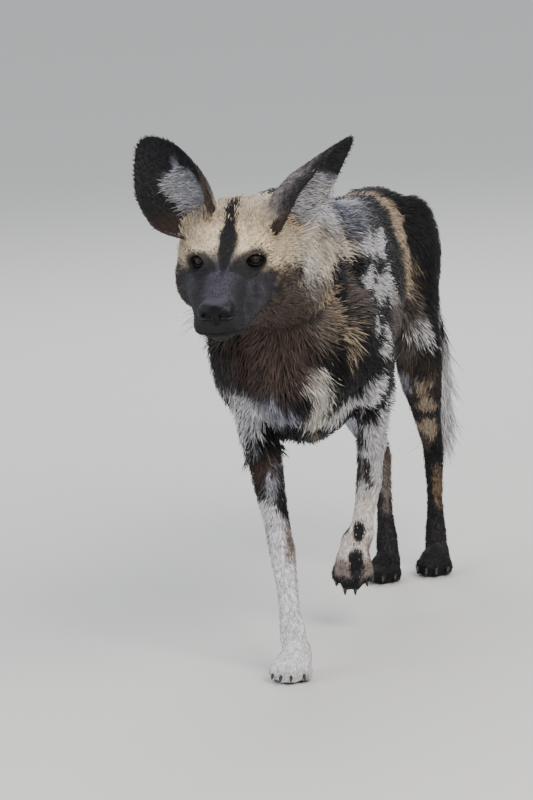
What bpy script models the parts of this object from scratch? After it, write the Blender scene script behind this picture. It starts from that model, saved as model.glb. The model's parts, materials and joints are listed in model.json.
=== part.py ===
"""African wild dog, adult, life size, at a walk with its left forefoot lifted.

Metres, +Z up. The dog faces -Y, its left side is at +X, and the floor is z = 0.
The body is fused from lofts and rounded masses, cut flat under the paws, and then
parted by thin slots into the pieces that a person would name.
"""

import math
from dataclasses import dataclass

import bmesh
import bpy
import numpy as np
from mathutils import Euler, Matrix, Vector
from mathutils.bvhtree import BVHTree

# Driving dimensions of the animal
WITHERS = 0.645
CROUP = 0.606
BRISKET = 0.302
CHEST_HALF = 0.094
WAIST_HALF = 0.072
HIP_HALF = 0.080
PROSTERNUM_Y = -0.172
BUTTOCK_Y = 0.566

# The head stands on its own frame, at the midpoint between the eyes
EYES_AT = Vector((-0.021, -0.410, 0.626))
HEAD_PITCH = 12.0
HEAD_YAW = 1.5
HEAD_ROLL = 0.0
EYE_APART = 0.070
EYE_RADIUS = 0.0122
LID = 0.0030
MUZZLE_LENGTH = 0.108
EAR_LENGTH = 0.134
EAR_HALF_WIDTH = 0.0475
EAR_WALL = 0.0044

# Gap between two pieces that touch, and how finely the surface is cut up
GAP = 0.0003
SLIVER = 0.000003
VOXEL = 0.0024
HEAD_SMOOTHING = 8
BODY_SMOOTHING = 36
FLESH_TRIANGLES = 5900
RING_SIDES = 24

# Colours of the coat and the bare parts, as linear RGB
TAN = (0.42, 0.27, 0.13)
BLACK = (0.018, 0.016, 0.018)
WHITE = (0.72, 0.70, 0.67)
BROWN = (0.14, 0.09, 0.06)
PAD = (0.03, 0.028, 0.030)
EYE = (0.06, 0.035, 0.018)


@dataclass
class Section:
    """One ring of a loft: its centre, half width across, and half depth to its plus and minus sides."""

    at: tuple
    across: float
    plus: float
    minus: float


@dataclass
class Leg:
    """Joints of a leg from the top down, and where and how its foot stands."""

    joints: list
    sole: tuple
    heading: float
    toe_drop: float


RIGHT_FORE = Leg([(-0.076, -0.050, 0.440), (-0.079, -0.052, 0.372), (-0.026, -0.150, 0.172),
                  (-0.008, -0.188, 0.060)], (-0.003, -0.206, 0.0), -2, 0)
LEFT_FORE = Leg([(0.072, 0.010, 0.440), (0.083, 0.024, 0.376), (0.047, 0.118, 0.218),
                 (0.030, 0.124, 0.138)], (0.022, 0.128, 0.092), -3, 44)
LEFT_HIND = Leg([(0.050, 0.462, 0.498), (0.072, 0.398, 0.350), (0.062, 0.536, 0.184),
                 (0.062, 0.524, 0.052)], (0.064, 0.506, 0.0), 3, 0)
RIGHT_HIND = Leg([(-0.050, 0.462, 0.498), (-0.060, 0.378, 0.350), (-0.012, 0.496, 0.178),
                  (-0.004, 0.474, 0.052)], (-0.004, 0.456, 0.0), -2, 0)


def material(name, colour, roughness):
    """A Principled material of one colour."""
    made = bpy.data.materials.new(name)
    made.use_nodes = True
    shader = made.node_tree.nodes["Principled BSDF"]
    shader.inputs["Base Color"].default_value = (*colour, 1.0)
    shader.inputs["Roughness"].default_value = roughness
    shader.inputs["Metallic"].default_value = 0.0
    return made


def object_from(bm, name, collection):
    """A mesh object made from a bmesh, which is freed."""
    mesh = bpy.data.meshes.new(name)
    bm.to_mesh(mesh)
    bm.free()
    made = bpy.data.objects.new(name, mesh)
    collection.objects.link(made)
    return made


def spline_rows(rows, steps):
    """Rows of numbers resampled along a smooth Catmull-Rom curve."""
    rows = np.array(rows, float)
    padded = np.vstack([2 * rows[0] - rows[1], rows, 2 * rows[-1] - rows[-2]])
    made = []
    for i in range(len(rows) - 1):
        a, b, c, d = padded[i : i + 4]
        for t in np.arange(steps) / steps:
            made.append(0.5 * (2 * b + (c - a) * t + (2 * a - 5 * b + 4 * c - d) * t**2
                               + (3 * b - a - 3 * c + d) * t**3))
    made.append(rows[-1])
    return np.array(made)


def loft(name, sections, collection, frame=None, steps=3, sides=RING_SIDES, wide=Vector((1, 0, 0))):
    """A closed tube through the sections, whose rings stand square to its line.

    The plus side of a ring is up on a trunk that runs back, and the rear of a leg that runs down.
    """
    rows = spline_rows([[*s.at, s.across, s.plus, s.minus] for s in sections], steps)
    bm = bmesh.new()
    rings = []
    for i, row in enumerate(rows):
        ahead, behind = rows[min(i + 1, len(rows) - 1)], rows[max(i - 1, 0)]
        along = Vector(ahead[:3] - behind[:3]).normalized()
        side = (wide - along * wide.dot(along)).normalized()
        third = side.cross(along)
        ring = []
        for k in range(sides):
            angle = 2 * math.pi * k / sides
            depth = row[4] if math.sin(angle) > 0 else row[5]
            point = (Vector(row[:3]) + side * (math.cos(angle) * max(row[3], 1e-4))
                     + third * (math.sin(angle) * max(depth, 1e-4)))
            ring.append(bm.verts.new(frame @ point if frame else point))
        rings.append(ring)
    for near, far in zip(rings, rings[1:]):
        for k in range(sides):
            bm.faces.new((near[k], near[(k + 1) % sides], far[(k + 1) % sides], far[k]))
    bm.faces.new(rings[0][::-1])
    bm.faces.new(rings[-1])
    bmesh.ops.recalc_face_normals(bm, faces=bm.faces)
    return object_from(bm, name, collection)


def ball(name, centre, radii, collection, turn=(0, 0, 0), frame=None, segments=24, rings=16):
    """An ellipsoid of three half sizes, turned by degrees about X, Y and Z."""
    bm = bmesh.new()
    bmesh.ops.create_uvsphere(bm, u_segments=segments, v_segments=rings, radius=1.0)
    place = (Matrix.Translation(Vector(centre)) @ Euler([math.radians(a) for a in turn]).to_matrix().to_4x4()
             @ Matrix.Diagonal((*radii, 1.0)))
    bm.transform(frame @ place if frame else place)
    return object_from(bm, name, collection)


def tube(name, points, radius, collection, flat=1.0, sides=6):
    """A closed tube of one radius along points, thinner than it is wide by `flat` in z."""
    sections = [Section(tuple(p), radius, radius * flat, radius * flat) for p in points]
    sections = [Section(s.at, 0.0004, 0.0004, 0.0004) if i in (0, len(points) - 1) else s
                for i, s in enumerate(sections)]
    return loft(name, sections, collection, steps=1, sides=sides, wide=Vector((0.02, 1.0, 0.01)))


def sway(y):
    """How far the trunk's line lies to the left at y."""
    return -0.008 * max(0.0, min(1.0, (0.45 - y) / 0.5))


def torso(collection):
    """The trunk, from the front of the breastbone to the buttocks."""
    y0, y1 = PROSTERNUM_Y, BUTTOCK_Y
    # Place along the trunk, widest height, half width, height of the back, height of the belly
    stations = [
        (y0, 0.478, 0.034, 0.520, 0.438),
        (y0 + 0.028, 0.480, 0.070, 0.572, 0.388),
        (y0 + 0.070, 0.478, 0.090, 0.612, 0.345),
        (y0 + 0.120, 0.476, 0.097, 0.636, BRISKET + 0.006),
        (y0 + 0.190, 0.474, 0.095, WITHERS, BRISKET),
        (y0 + 0.270, 0.470, CHEST_HALF, 0.637, BRISKET + 0.008),
        (y0 + 0.340, 0.466, CHEST_HALF, 0.628, BRISKET + 0.024),
        (y0 + 0.410, 0.470, 0.090, 0.620, BRISKET + 0.046),
        (y0 + 0.470, 0.478, 0.082, 0.615, BRISKET + 0.072),
        (y1 - 0.205, 0.490, 0.074, 0.612, 0.400),
        (y1 - 0.150, 0.500, WAIST_HALF, 0.610, 0.420),
        (y1 - 0.095, 0.504, HIP_HALF, CROUP, 0.430),
        (y1 - 0.050, 0.498, 0.074, 0.588, 0.436),
        (y1 - 0.012, 0.490, 0.052, 0.558, 0.450),
        (y1, 0.486, 0.028, 0.532, 0.465),
    ]
    return loft("trunk", [Section((sway(y), y, middle), half, top - middle, middle - bottom)
                          for y, middle, half, top, bottom in stations], collection)


def neck(collection):
    """The neck, thick with its ruff, from the shoulders to the back of the skull."""
    return loft("neck", [
        Section((-0.008, 0.100, 0.548), 0.060, 0.082, 0.090),
        Section((-0.008, 0.000, 0.552), 0.084, 0.088, 0.115),
        Section((-0.010, -0.080, 0.560), 0.086, 0.082, 0.120),
        Section((-0.013, -0.160, 0.574), 0.082, 0.078, 0.112),
        Section((-0.016, -0.230, 0.592), 0.078, 0.073, 0.098),
        Section((-0.018, -0.290, 0.608), 0.076, 0.071, 0.084),
        Section((-0.019, -0.340, 0.618), 0.068, 0.064, 0.070),
    ], collection)


def shoulder_masses(collection):
    """Blade, point of the shoulder and upper arm on both sides, which round the front of the chest."""
    made = []
    for side, reach in ((-1, -0.020), (1, 0.012)):
        x = sway(0)
        made += [
            ball("blade", (x + side * 0.058, 0.000, 0.545), (0.036, 0.075, 0.092), collection, (-20, side * 12, 0)),
            ball("point", (x + side * 0.076, -0.084 + reach, 0.462), (0.043, 0.062, 0.076), collection,
                 (0, side * 8, 0)),
            ball("upper_arm", (x + side * 0.090, -0.026 + reach, 0.422), (0.038, 0.064, 0.080), collection,
                 (30, side * 4, 0)),
        ]
    made.append(ball("breast", (-0.010, -0.120, 0.435), (0.062, 0.048, 0.082), collection, (-18, 0, 0)))
    return made


def rump_masses(collection):
    """Haunch on both sides of the croup."""
    return [ball("haunch", (side * 0.058, BUTTOCK_Y - 0.092, 0.500), (0.040, 0.082, 0.092), collection, (15, 0, 0))
            for side in (-1, 1)]


def foot_frame(leg, scale):
    """Axes of a foot: x across, -y to the toes, z up, from the middle of the sole."""
    return (Matrix.Translation(Vector(leg.sole)) @ Matrix.Rotation(math.radians(leg.heading), 4, "Z")
            @ Matrix.Rotation(math.radians(leg.toe_drop), 4, "X") @ Matrix.Scale(scale, 4))


def paw(leg, collection, scale=1.0):
    """A foot with four toes and its pads."""
    frame = foot_frame(leg, scale)
    made = [
        ball("foot_back", (0, 0.016, 0.030), (0.0215, 0.024, 0.027), collection, frame=frame),
        ball("foot_bridge", (0, -0.006, 0.0265), (0.0265, 0.026, 0.0205), collection, frame=frame),
        ball("foot_sole", (0, 0.010, 0.0080), (0.0195, 0.0170, 0.0110), collection, frame=frame),
    ]
    for place, forward in ((-1.5, 0.020), (-0.5, 0.034), (0.5, 0.034), (1.5, 0.020)):
        x = place * 0.0145
        made.append(ball("toe", (x, -forward, 0.0165), (0.0096, 0.0220, 0.0150), collection,
                         (-10, 0, place * 7), frame))
        made.append(ball("toe_pad", (x, -forward - 0.004, 0.0070), (0.0080, 0.0135, 0.0090), collection, frame=frame))
    return made


def claws(leg, collection, scale=1.0):
    """Four short blunt claws, whose roots are sunk in the ends of the toes."""
    frame = foot_frame(leg, scale)
    made = []
    for place, forward in ((-1.5, 0.036), (-0.5, 0.051), (0.5, 0.051), (1.5, 0.036)):
        x = place * 0.0152
        made.append(loft("claw", [
            Section((x, -forward + 0.008, 0.0155), 0.0028, 0.0034, 0.0034),
            Section((x, -forward - 0.002, 0.0135), 0.0026, 0.0031, 0.0031),
            Section((x * 1.02, -forward - 0.0075, 0.0098), 0.0017, 0.0021, 0.0021),
            Section((x * 1.04, -forward - 0.0098, 0.0065), 0.0005, 0.0007, 0.0007),
        ], collection, frame, 1, 6))
    return made


def between(a, b, share):
    """A point part of the way from a to b."""
    return tuple(Vector(a).lerp(Vector(b), share))


def foreleg(leg, collection):
    """Elbow, forearm, wrist and pastern."""
    upper, elbow, wrist, knuckle = leg.joints
    sections = [
        Section(upper, 0.036, 0.046, 0.046),
        Section(elbow, 0.031, 0.042, 0.034),
        Section(between(elbow, wrist, 0.25), 0.0265, 0.032, 0.029),
        Section(between(elbow, wrist, 0.55), 0.0220, 0.0250, 0.0230),
        Section(between(elbow, wrist, 0.85), 0.0195, 0.0205, 0.0190),
        Section(wrist, 0.0205, 0.0205, 0.0195),
        Section(between(wrist, knuckle, 0.35), 0.0180, 0.0185, 0.0160),
        Section(between(wrist, knuckle, 0.75), 0.0175, 0.0170, 0.0155),
        Section(knuckle, 0.0200, 0.0180, 0.0175),
        Section(leg.sole, 0.0120, 0.0100, 0.0080),
    ]
    sections[-1].at = between(knuckle, foot_frame(leg, 1.0) @ Vector((0, 0, 0.012)), 1.0)
    return [loft("arm", sections, collection),
            ball("elbow_point", Vector(elbow) + Vector((0, 0.032, 0.014)), (0.016, 0.018, 0.026), collection),
            ball("wrist_pad", Vector(wrist) + Vector((0, 0.015, -0.014)), (0.0085, 0.0090, 0.0120), collection)]


def hindleg(leg, collection):
    """Thigh, gaskin, hock and pastern."""
    hip, stifle, hock, knuckle = leg.joints
    thigh = [
        Section(between(hip, stifle, -0.20), 0.036, 0.078, 0.060),
        Section(hip, 0.041, 0.088, 0.074),
        Section(between(hip, stifle, 0.45), 0.041, 0.078, 0.064),
        Section(between(hip, stifle, 0.80), 0.037, 0.060, 0.044),
        Section(between(stifle, hock, 0.12), 0.033, 0.048, 0.034),
        Section(between(stifle, hock, 0.40), 0.0260, 0.034, 0.0265),
        Section(between(stifle, hock, 0.72), 0.0190, 0.0235, 0.0200),
        Section(between(stifle, hock, 0.94), 0.0165, 0.0220, 0.0180),
        Section(between(stifle, hock, 1.04), 0.0150, 0.0180, 0.0150),
    ]
    shank = [
        Section(Vector(hock) + Vector((0, 0.004, 0.020)), 0.0140, 0.0180, 0.0150),
        Section(hock, 0.0175, 0.0210, 0.0190),
        Section(between(hock, knuckle, 0.25), 0.0155, 0.0165, 0.0160),
        Section(between(hock, knuckle, 0.60), 0.0148, 0.0145, 0.0140),
        Section(knuckle, 0.0180, 0.0165, 0.0165),
        Section(foot_frame(leg, 1.0) @ Vector((0, 0, 0.012)), 0.0120, 0.0100, 0.0080),
    ]
    heel = Vector(hock) + Vector((0, 0.020, 0.020))
    cord = [Section(between(stifle, hock, 0.35), 0.010, 0.020, 0.010),
            Section(between(stifle, tuple(heel), 0.72), 0.0085, 0.017, 0.010),
            Section(tuple(heel), 0.0095, 0.0105, 0.010)]
    return [loft("thigh", thigh, collection), loft("shank", shank, collection), loft("cord", cord, collection),
            ball("heel", heel, (0.0110, 0.0120, 0.0200), collection, (12, 0, 0))]


def head_frame():
    """The head's own axes: x to its left, -y ahead, z up, from the midpoint between the eyes."""
    return (Matrix.Translation(EYES_AT) @ Matrix.Rotation(math.radians(HEAD_YAW), 4, "Z")
            @ Matrix.Rotation(math.radians(HEAD_PITCH), 4, "X")
            @ Matrix.Rotation(math.radians(HEAD_ROLL), 4, "Y"))


def skull(collection):
    """Skull, cheeks and muzzle before the lids, lips and nose are put on."""
    frame = head_frame()
    m = MUZZLE_LENGTH
    sections = [
        Section((0, -m + 0.000, -0.046), 0.018, 0.017, 0.016),
        Section((0, -m + 0.007, -0.047), 0.0265, 0.027, 0.0235),
        Section((0, -m + 0.024, -0.047), 0.0345, 0.035, 0.030),
        Section((0, -m + 0.050, -0.045), 0.0430, 0.038, 0.034),
        Section((0, -m + 0.076, -0.041), 0.0515, 0.043, 0.040),
        Section((0, -0.008, -0.035), 0.0605, 0.052, 0.046),
        Section((0, 0.014, -0.027), 0.0695, 0.060, 0.054),
        Section((0, 0.042, -0.018), 0.0770, 0.070, 0.062),
        Section((0, 0.072, -0.012), 0.0815, 0.072, 0.066),
        Section((0, 0.102, -0.010), 0.0770, 0.068, 0.064),
        Section((0, 0.130, -0.010), 0.0640, 0.056, 0.058),
    ]
    made = [loft("skull", sections, collection, frame=frame)]
    for side in (-1, 1):
        made += [
            ball("brow", (side * 0.032, 0.004, 0.0125), (0.020, 0.017, 0.011), collection, (0, side * 26, 0), frame),
            ball("cheekbone", (side * 0.046, 0.026, -0.018), (0.018, 0.038, 0.022), collection, (0, 0, side * 24), frame),
            ball("jowl", (side * 0.044, 0.060, -0.036), (0.038, 0.072, 0.050), collection, (0, 0, side * 6), frame),
            ball("flew", (side * 0.0195, -m + 0.038, -0.0560), (0.0175, 0.034, 0.0170), collection, (0, 0, side * 10),
                 frame),
            ball("ear_root", (side * 0.047, 0.086, 0.018), (0.026, 0.024, 0.024), collection, (0, side * 30, 0), frame),
        ]
    made.append(ball("chin", (0, -m + 0.036, -0.0735), (0.0205, 0.028, 0.0110), collection, (0, 0, 0), frame))
    made.append(ball("forehead", (0, 0.048, 0.027), (0.054, 0.050, 0.025), collection, (0, 0, 0), frame))
    made.append(ball("throat", (0, 0.050, -0.056), (0.052, 0.060, 0.034), collection, (0, 0, 0), frame))
    return made


def eye_place(side):
    """Centre of an eyeball in the head's frame."""
    return Vector((side * EYE_APART / 2, 0.0055, 0.0))


def lid_domes(collection):
    """A dome over each eyeball, out of which the opening between the lids is cut."""
    frame = head_frame()
    radius = EYE_RADIUS + LID
    return [ball("lids", eye_place(side), (radius * 1.12, radius, radius * 0.96), collection, frame=frame)
            for side in (-1, 1)]


def eye_opening(side, collection):
    """An almond prism that looks forward and out from the middle of the eye."""
    bm = bmesh.new()
    half, lift, drop = 0.0122, 0.0062, 0.0050
    rim = []
    for k in range(18):
        angle = 2 * math.pi * k / 18
        x = math.cos(angle) * half
        z = math.sin(angle) ** 3 * 0.35 + math.sin(angle) * 0.65
        rim.append(Vector((x, 0, z * (lift if z > 0 else drop))))
    near = [bm.verts.new(p + Vector((0, -0.004, 0))) for p in rim]
    far = [bm.verts.new(Vector((p.x * 1.5, -0.030, p.z * 1.7))) for p in rim]
    for k in range(18):
        bm.faces.new((near[k], near[(k + 1) % 18], far[(k + 1) % 18], far[k]))
    bm.faces.new(near[::-1])
    bm.faces.new(far)
    bmesh.ops.recalc_face_normals(bm, faces=bm.faces)
    bm.transform(head_frame() @ Matrix.Translation(eye_place(side))
                 @ Matrix.Rotation(math.radians(side * 24), 4, "Z")
                 @ Matrix.Rotation(math.radians(side * 8), 4, "Y") @ Matrix.Rotation(math.radians(-6), 4, "X"))
    return object_from(bm, "opening", collection)


def mouth_points(flesh):
    """Points of the mouth line on the surface, from the right corner round the front to the left corner."""
    frame = head_frame()
    back = frame.inverted()
    tree = BVHTree.FromObject(flesh, bpy.context.evaluated_depsgraph_get())
    m = MUZZLE_LENGTH
    right = []
    for forward, low in ((0.006, -0.0590), (0.022, -0.0625), (0.040, -0.0640), (0.056, -0.0642), (0.070, -0.0640)):
        hit = tree.ray_cast(frame @ Vector((-0.30, -forward, low)), (frame.to_3x3() @ Vector((1, 0, 0))))
        right.append(back @ hit[0])
    front = []
    for angle in (-65, -45, -22, 0):
        way = Vector((math.sin(math.radians(angle)), -math.cos(math.radians(angle)), 0))
        start = Vector((0, -m + 0.036, -0.0637)) + way * 0.2
        hit = tree.ray_cast(frame @ start, frame.to_3x3() @ -way)
        front.append(back @ hit[0])
    half = right + front
    mirrored = [Vector((-p.x, p.y, p.z)) for p in half[:-1]][::-1]
    return [frame @ p for p in half + mirrored]


def nose(collection):
    """The bare nose: a rounded pad with a flat front, which overhangs the lip."""
    frame = head_frame() @ Matrix.Translation(Vector((0, -MUZZLE_LENGTH, -0.0345)))
    pad = [
        ball("pad_body", (0, 0.012, 0.001), (0.0258, 0.0185, 0.0162), collection, frame=frame),
        ball("pad_top", (0, 0.015, 0.0088), (0.0205, 0.0195, 0.0090), collection, (14, 0, 0), frame),
        ball("pad_lip", (0, 0.0090, -0.012), (0.0105, 0.0120, 0.0125), collection, frame=frame),
        ball("wing", (-0.0166, 0.0080, -0.0015), (0.0096, 0.0125, 0.0115), collection, (0, 0, 18), frame),
        ball("wing", (0.0166, 0.0080, -0.0015), (0.0096, 0.0125, 0.0115), collection, (0, 0, -18), frame),
    ]
    made = fuse("nose", pad, collection, 0.0009, 4, 420)
    for side in (-1, 1):
        cut(made, ball("nostril", (side * 0.0112, -0.0055, -0.0010), (0.0042, 0.0085, 0.0048), collection,
                       (0, side * 20, side * 14), frame, 12, 8))
        cut(made, ball("nostril_slit", (side * 0.0187, -0.0015, -0.0042), (0.0065, 0.0050, 0.0016), collection,
                       (0, side * 14, side * 30), frame, 10, 6))
    cut(made, ball("groove", (0, -0.0075, -0.0085), (0.0009, 0.0040, 0.0130), collection, frame=frame, segments=8, rings=8))
    return made


def ear(side, collection):
    """A big rounded cup: a bent sheet of two faces, wrapped almost into a tube at its root."""
    head = head_frame()
    root = head @ Vector((side * 0.047, 0.076, 0.043))
    tip = Vector((-0.162, -0.318, 0.784)) if side < 0 else Vector((0.148, -0.318, 0.773))
    facing = Vector((-0.14, -0.99, 0.06)) if side < 0 else Vector((0.985, -0.06, 0.0))
    up = (tip - root).normalized()
    root = root - up * 0.030
    length = (tip - root).length
    facing = (facing - up * facing.dot(up)).normalized()
    across = up.cross(facing)
    shares = [0.0, 0.10, 0.20, 0.32, 0.45, 0.58, 0.70, 0.80, 0.88, 0.94, 0.98]
    widths = [0.42, 0.60, 0.80, 0.95, 1.00, 0.97, 0.87, 0.71, 0.53, 0.36, 0.17]
    wraps = [128, 118, 106, 92, 80, 70, 62, 54, 46, 38, 30]
    columns = 11
    bm = bmesh.new()
    faces = []
    for layer in (0, 1):
        grid = []
        for share, width, wrap in zip(shares, widths, wraps):
            wrap = math.radians(wrap)
            half = width * EAR_HALF_WIDTH
            radius = half / math.sin(min(wrap, math.pi / 2))
            row = []
            for k in range(columns):
                angle = (2 * k / (columns - 1) - 1) * wrap
                reach = radius
                wall = EAR_WALL * (1.0 - 0.45 * abs(2 * k / (columns - 1) - 1) ** 3) * (1 - 0.35 * share)
                if layer:
                    reach += wall
                line = (root + up * (share * length) + across * (math.sin(angle) * reach)
                        - facing * (math.cos(angle) * reach - radius * 0.62)
                        + facing * (0.016 * (1 - share) ** 2 - 0.012 * share**2))
                row.append(bm.verts.new(line))
            grid.append(row)
        faces.append(grid)
    inner, outer = faces
    rows = len(shares)
    for i in range(rows - 1):
        for k in range(columns - 1):
            bm.faces.new((inner[i][k], inner[i][k + 1], inner[i + 1][k + 1], inner[i + 1][k]))
            bm.faces.new((outer[i][k], outer[i + 1][k], outer[i + 1][k + 1], outer[i][k + 1]))
        bm.faces.new((inner[i][0], inner[i + 1][0], outer[i + 1][0], outer[i][0]))
        bm.faces.new((inner[i][-1], outer[i][-1], outer[i + 1][-1], inner[i + 1][-1]))
    for k in range(columns - 1):
        bm.faces.new((inner[0][k], outer[0][k], outer[0][k + 1], inner[0][k + 1]))
        bm.faces.new((inner[-1][k], inner[-1][k + 1], outer[-1][k + 1], outer[-1][k]))
    bmesh.ops.recalc_face_normals(bm, faces=bm.faces)
    return object_from(bm, "ear", collection)


def tail_core(collection):
    """The dock and the core of the brush, which reaches half way to the tips of its hair."""
    return loft("dock", [
        Section((0.002, 0.505, 0.560), 0.020, 0.022, 0.022),
        Section((0.004, 0.545, 0.553), 0.021, 0.020, 0.022),
        Section((0.010, 0.578, 0.520), 0.0185, 0.018, 0.019),
        Section((0.024, 0.600, 0.468), 0.0165, 0.0165, 0.0165),
        Section((0.038, 0.612, 0.410), 0.0150, 0.0155, 0.0155),
        Section((0.049, 0.618, 0.350), 0.0150, 0.0160, 0.0160),
        Section((0.055, 0.622, 0.290), 0.0150, 0.0160, 0.0160),
        Section((0.057, 0.624, 0.235), 0.0115, 0.0120, 0.0120),
        Section((0.056, 0.624, 0.205), 0.0055, 0.0055, 0.0055),
    ], collection)


def lock(root, way, lift, length, width, thick, curl, rises, collection):
    """A flat tapered lock of hair that leaves the surface along `lift` and lies down along `way`."""
    way, lift = way.normalized(), lift.normalized()
    across = way.cross(lift).normalized()
    bm = bmesh.new()
    rings = []
    for share, wide in ((0.0, 0.75), (0.36, 1.0), (0.76, 0.62)):
        bend = math.radians(-38 + 48 * share) + curl * share
        rise = rises * length * math.sin(share * 2.4) - 0.10 * length * (1 - share) ** 2
        centre = root + way * (length * share) + lift * rise
        normal = (lift * math.cos(bend) + way * math.sin(bend)).normalized()
        half, deep = width * wide / 2, thick * (1 - 0.55 * share) / 2
        rings.append([bm.verts.new(centre + across * half), bm.verts.new(centre + normal * deep),
                      bm.verts.new(centre - across * half), bm.verts.new(centre - normal * deep)])
    tip = bm.verts.new(root + way * length + lift * (length * (rises * math.sin(2.4) + 0.10 * curl)))
    for near, far in zip(rings, rings[1:]):
        for k in range(4):
            bm.faces.new((near[k], near[(k + 1) % 4], far[(k + 1) % 4], far[k]))
    for k in range(4):
        bm.faces.new((rings[-1][k], rings[-1][(k + 1) % 4], tip))
    bm.faces.new(rings[0][::-1])
    bmesh.ops.recalc_face_normals(bm, faces=bm.faces)
    return object_from(bm, "lock", collection)


def run_modifier(obj, kind, **settings):
    """Adds a modifier with its settings and applies it."""
    modifier = obj.modifiers.new(kind, kind)
    for key, value in settings.items():
        setattr(modifier, key, value)
    mesh = bpy.data.meshes.new_from_object(obj.evaluated_get(bpy.context.evaluated_depsgraph_get()))
    obj.modifiers.clear()
    old = obj.data
    obj.data = mesh
    bpy.data.meshes.remove(old)


def joined(name, pieces, collection):
    """The pieces as one object of loose closed shells."""
    bm = bmesh.new()
    for piece in pieces:
        bm.from_mesh(piece.data)
        bpy.data.objects.remove(piece)
    return object_from(bm, name, collection)


def fuse(name, pieces, collection, voxel, smooth, triangles):
    """One smooth closed skin over all the pieces."""
    body = joined(name, pieces, collection)
    run_modifier(body, "REMESH", mode="VOXEL", voxel_size=voxel)
    run_modifier(body, "SMOOTH", factor=0.5, iterations=smooth)
    body.data.calc_loop_triangles()
    run_modifier(body, "DECIMATE", ratio=triangles / len(body.data.loop_triangles), use_collapse_triangulate=True)
    return body


def soften(flesh):
    """Smooths the body's masses into each other, and the head and the feet much less."""
    head = head_frame().inverted()
    group = flesh.vertex_groups.new(name="soft")
    feet = [Vector(leg.sole) for leg in (RIGHT_FORE, LEFT_FORE, LEFT_HIND, RIGHT_HIND)]
    soft = []
    for vert in flesh.data.vertices:
        p = head @ vert.co
        if (p.y > 0.022 or p.z > 0.012) and min((vert.co - foot).length for foot in feet) > 0.060:
            soft.append(vert.index)
    group.add(soft, 1.0, "REPLACE")
    run_modifier(flesh, "SMOOTH", factor=0.6, iterations=BODY_SMOOTHING, vertex_group="soft")
    run_modifier(flesh, "SMOOTH", factor=0.5, iterations=HEAD_SMOOTHING)


def thin(flesh, triangles):
    """Thins the body's mesh and keeps it finer on the head and the feet."""
    head = head_frame().inverted()
    group = flesh.vertex_groups.new(name="fine")
    feet = [Vector(leg.sole) for leg in (RIGHT_FORE, LEFT_FORE, LEFT_HIND, RIGHT_HIND)]
    weights = {}
    for vert in flesh.data.vertices:
        p = head @ vert.co
        weight = 0.0
        if p.y < 0.12:
            weight = 0.02
            if p.y < 0.045:
                weight = 0.05
            if min((p - eye_place(side)).length for side in (-1, 1)) < 0.022:
                weight = 0.25
        elif min((vert.co - foot).length for foot in feet) < 0.075:
            weight = 0.06
        weights.setdefault(weight, []).append(vert.index)
    for weight, indices in weights.items():
        group.add(indices, weight, "REPLACE")
    flesh.data.calc_loop_triangles()
    run_modifier(flesh, "DECIMATE", ratio=triangles / len(flesh.data.loop_triangles),
                 use_collapse_triangulate=True, vertex_group="fine", vertex_group_factor=1.0,
                 invert_vertex_group=True)


def blade(at, normal, across, deep, collection, thick=GAP, turn=0.0):
    """A thin oval plate that parts two pieces at a point, square to the normal."""
    bm = bmesh.new()
    bmesh.ops.create_cone(bm, cap_ends=True, segments=32, radius1=1.0, radius2=1.0, depth=1.0)
    normal = Vector(normal).normalized()
    side = (Vector((1, 0, 0)) - normal * normal.x).normalized()
    axes = Matrix((side, normal.cross(side), normal)).transposed().to_4x4()
    bm.transform(Matrix.Translation(Vector(at)) @ axes @ Matrix.Rotation(math.radians(turn), 4, "Z")
                 @ Matrix.Diagonal((across, deep, thick, 1.0)))
    return object_from(bm, "blade", collection)


def cut(obj, cutter, operation="DIFFERENCE", solver="EXACT"):
    """Applies one Boolean with a cutter and removes the cutter."""
    run_modifier(obj, "BOOLEAN", object=cutter, operation=operation, solver=solver)
    bpy.data.objects.remove(cutter)


def grown(obj, collection, by=GAP):
    """A copy of an object with its surface moved out, to cut its neighbours with."""
    bm = bmesh.new()
    bm.from_mesh(obj.data)
    bmesh.ops.triangulate(bm, faces=bm.faces)
    bm.normal_update()
    shift = {v: v.normal * by * 1.25 for v in bm.verts}
    for vert, step in shift.items():
        vert.co += step
    return object_from(bm, "grown", collection)


def loose_parts(obj, collection):
    """The separate closed surfaces of a mesh, each as its own object, largest first."""
    bm = bmesh.new()
    bm.from_mesh(obj.data)
    bmesh.ops.triangulate(bm, faces=bm.faces)
    bmesh.ops.dissolve_degenerate(bm, dist=SLIVER, edges=bm.edges)
    bmesh.ops.triangulate(bm, faces=bm.faces)
    bm.verts.index_update()
    # Two faces over the same corners are a flap of no thickness, and cancel out
    same = {}
    for face in bm.faces:
        same.setdefault(frozenset(vert.index for vert in face.verts), []).append(face)
    flaps = [face for faces in same.values() if len(faces) > 1 for face in faces]
    bmesh.ops.delete(bm, geom=flaps, context="FACES_ONLY")
    bm.verts.index_update()
    bm.faces.index_update()
    bm.faces.ensure_lookup_table()
    left = set(range(len(bm.faces)))
    groups = []
    while left:
        seed = left.pop()
        group, todo = [seed], [seed]
        while todo:
            for edge in bm.faces[todo.pop()].edges:
                for face in edge.link_faces if len(edge.link_faces) == 2 else ():
                    if face.index in left:
                        left.remove(face.index)
                        group.append(face.index)
                        todo.append(face.index)
        groups.append(sorted(group))
    made = []
    for group in sorted(groups, key=len, reverse=True):
        part = bmesh.new()
        verts = {}
        for index in group:
            corners = bm.faces[index].verts
            for vert in corners:
                if vert.index not in verts:
                    verts[vert.index] = part.verts.new(vert.co)
            part.faces.new([verts[vert.index] for vert in corners])
        made.append(object_from(part, "part", collection))
    bm.free()
    return made


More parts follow.
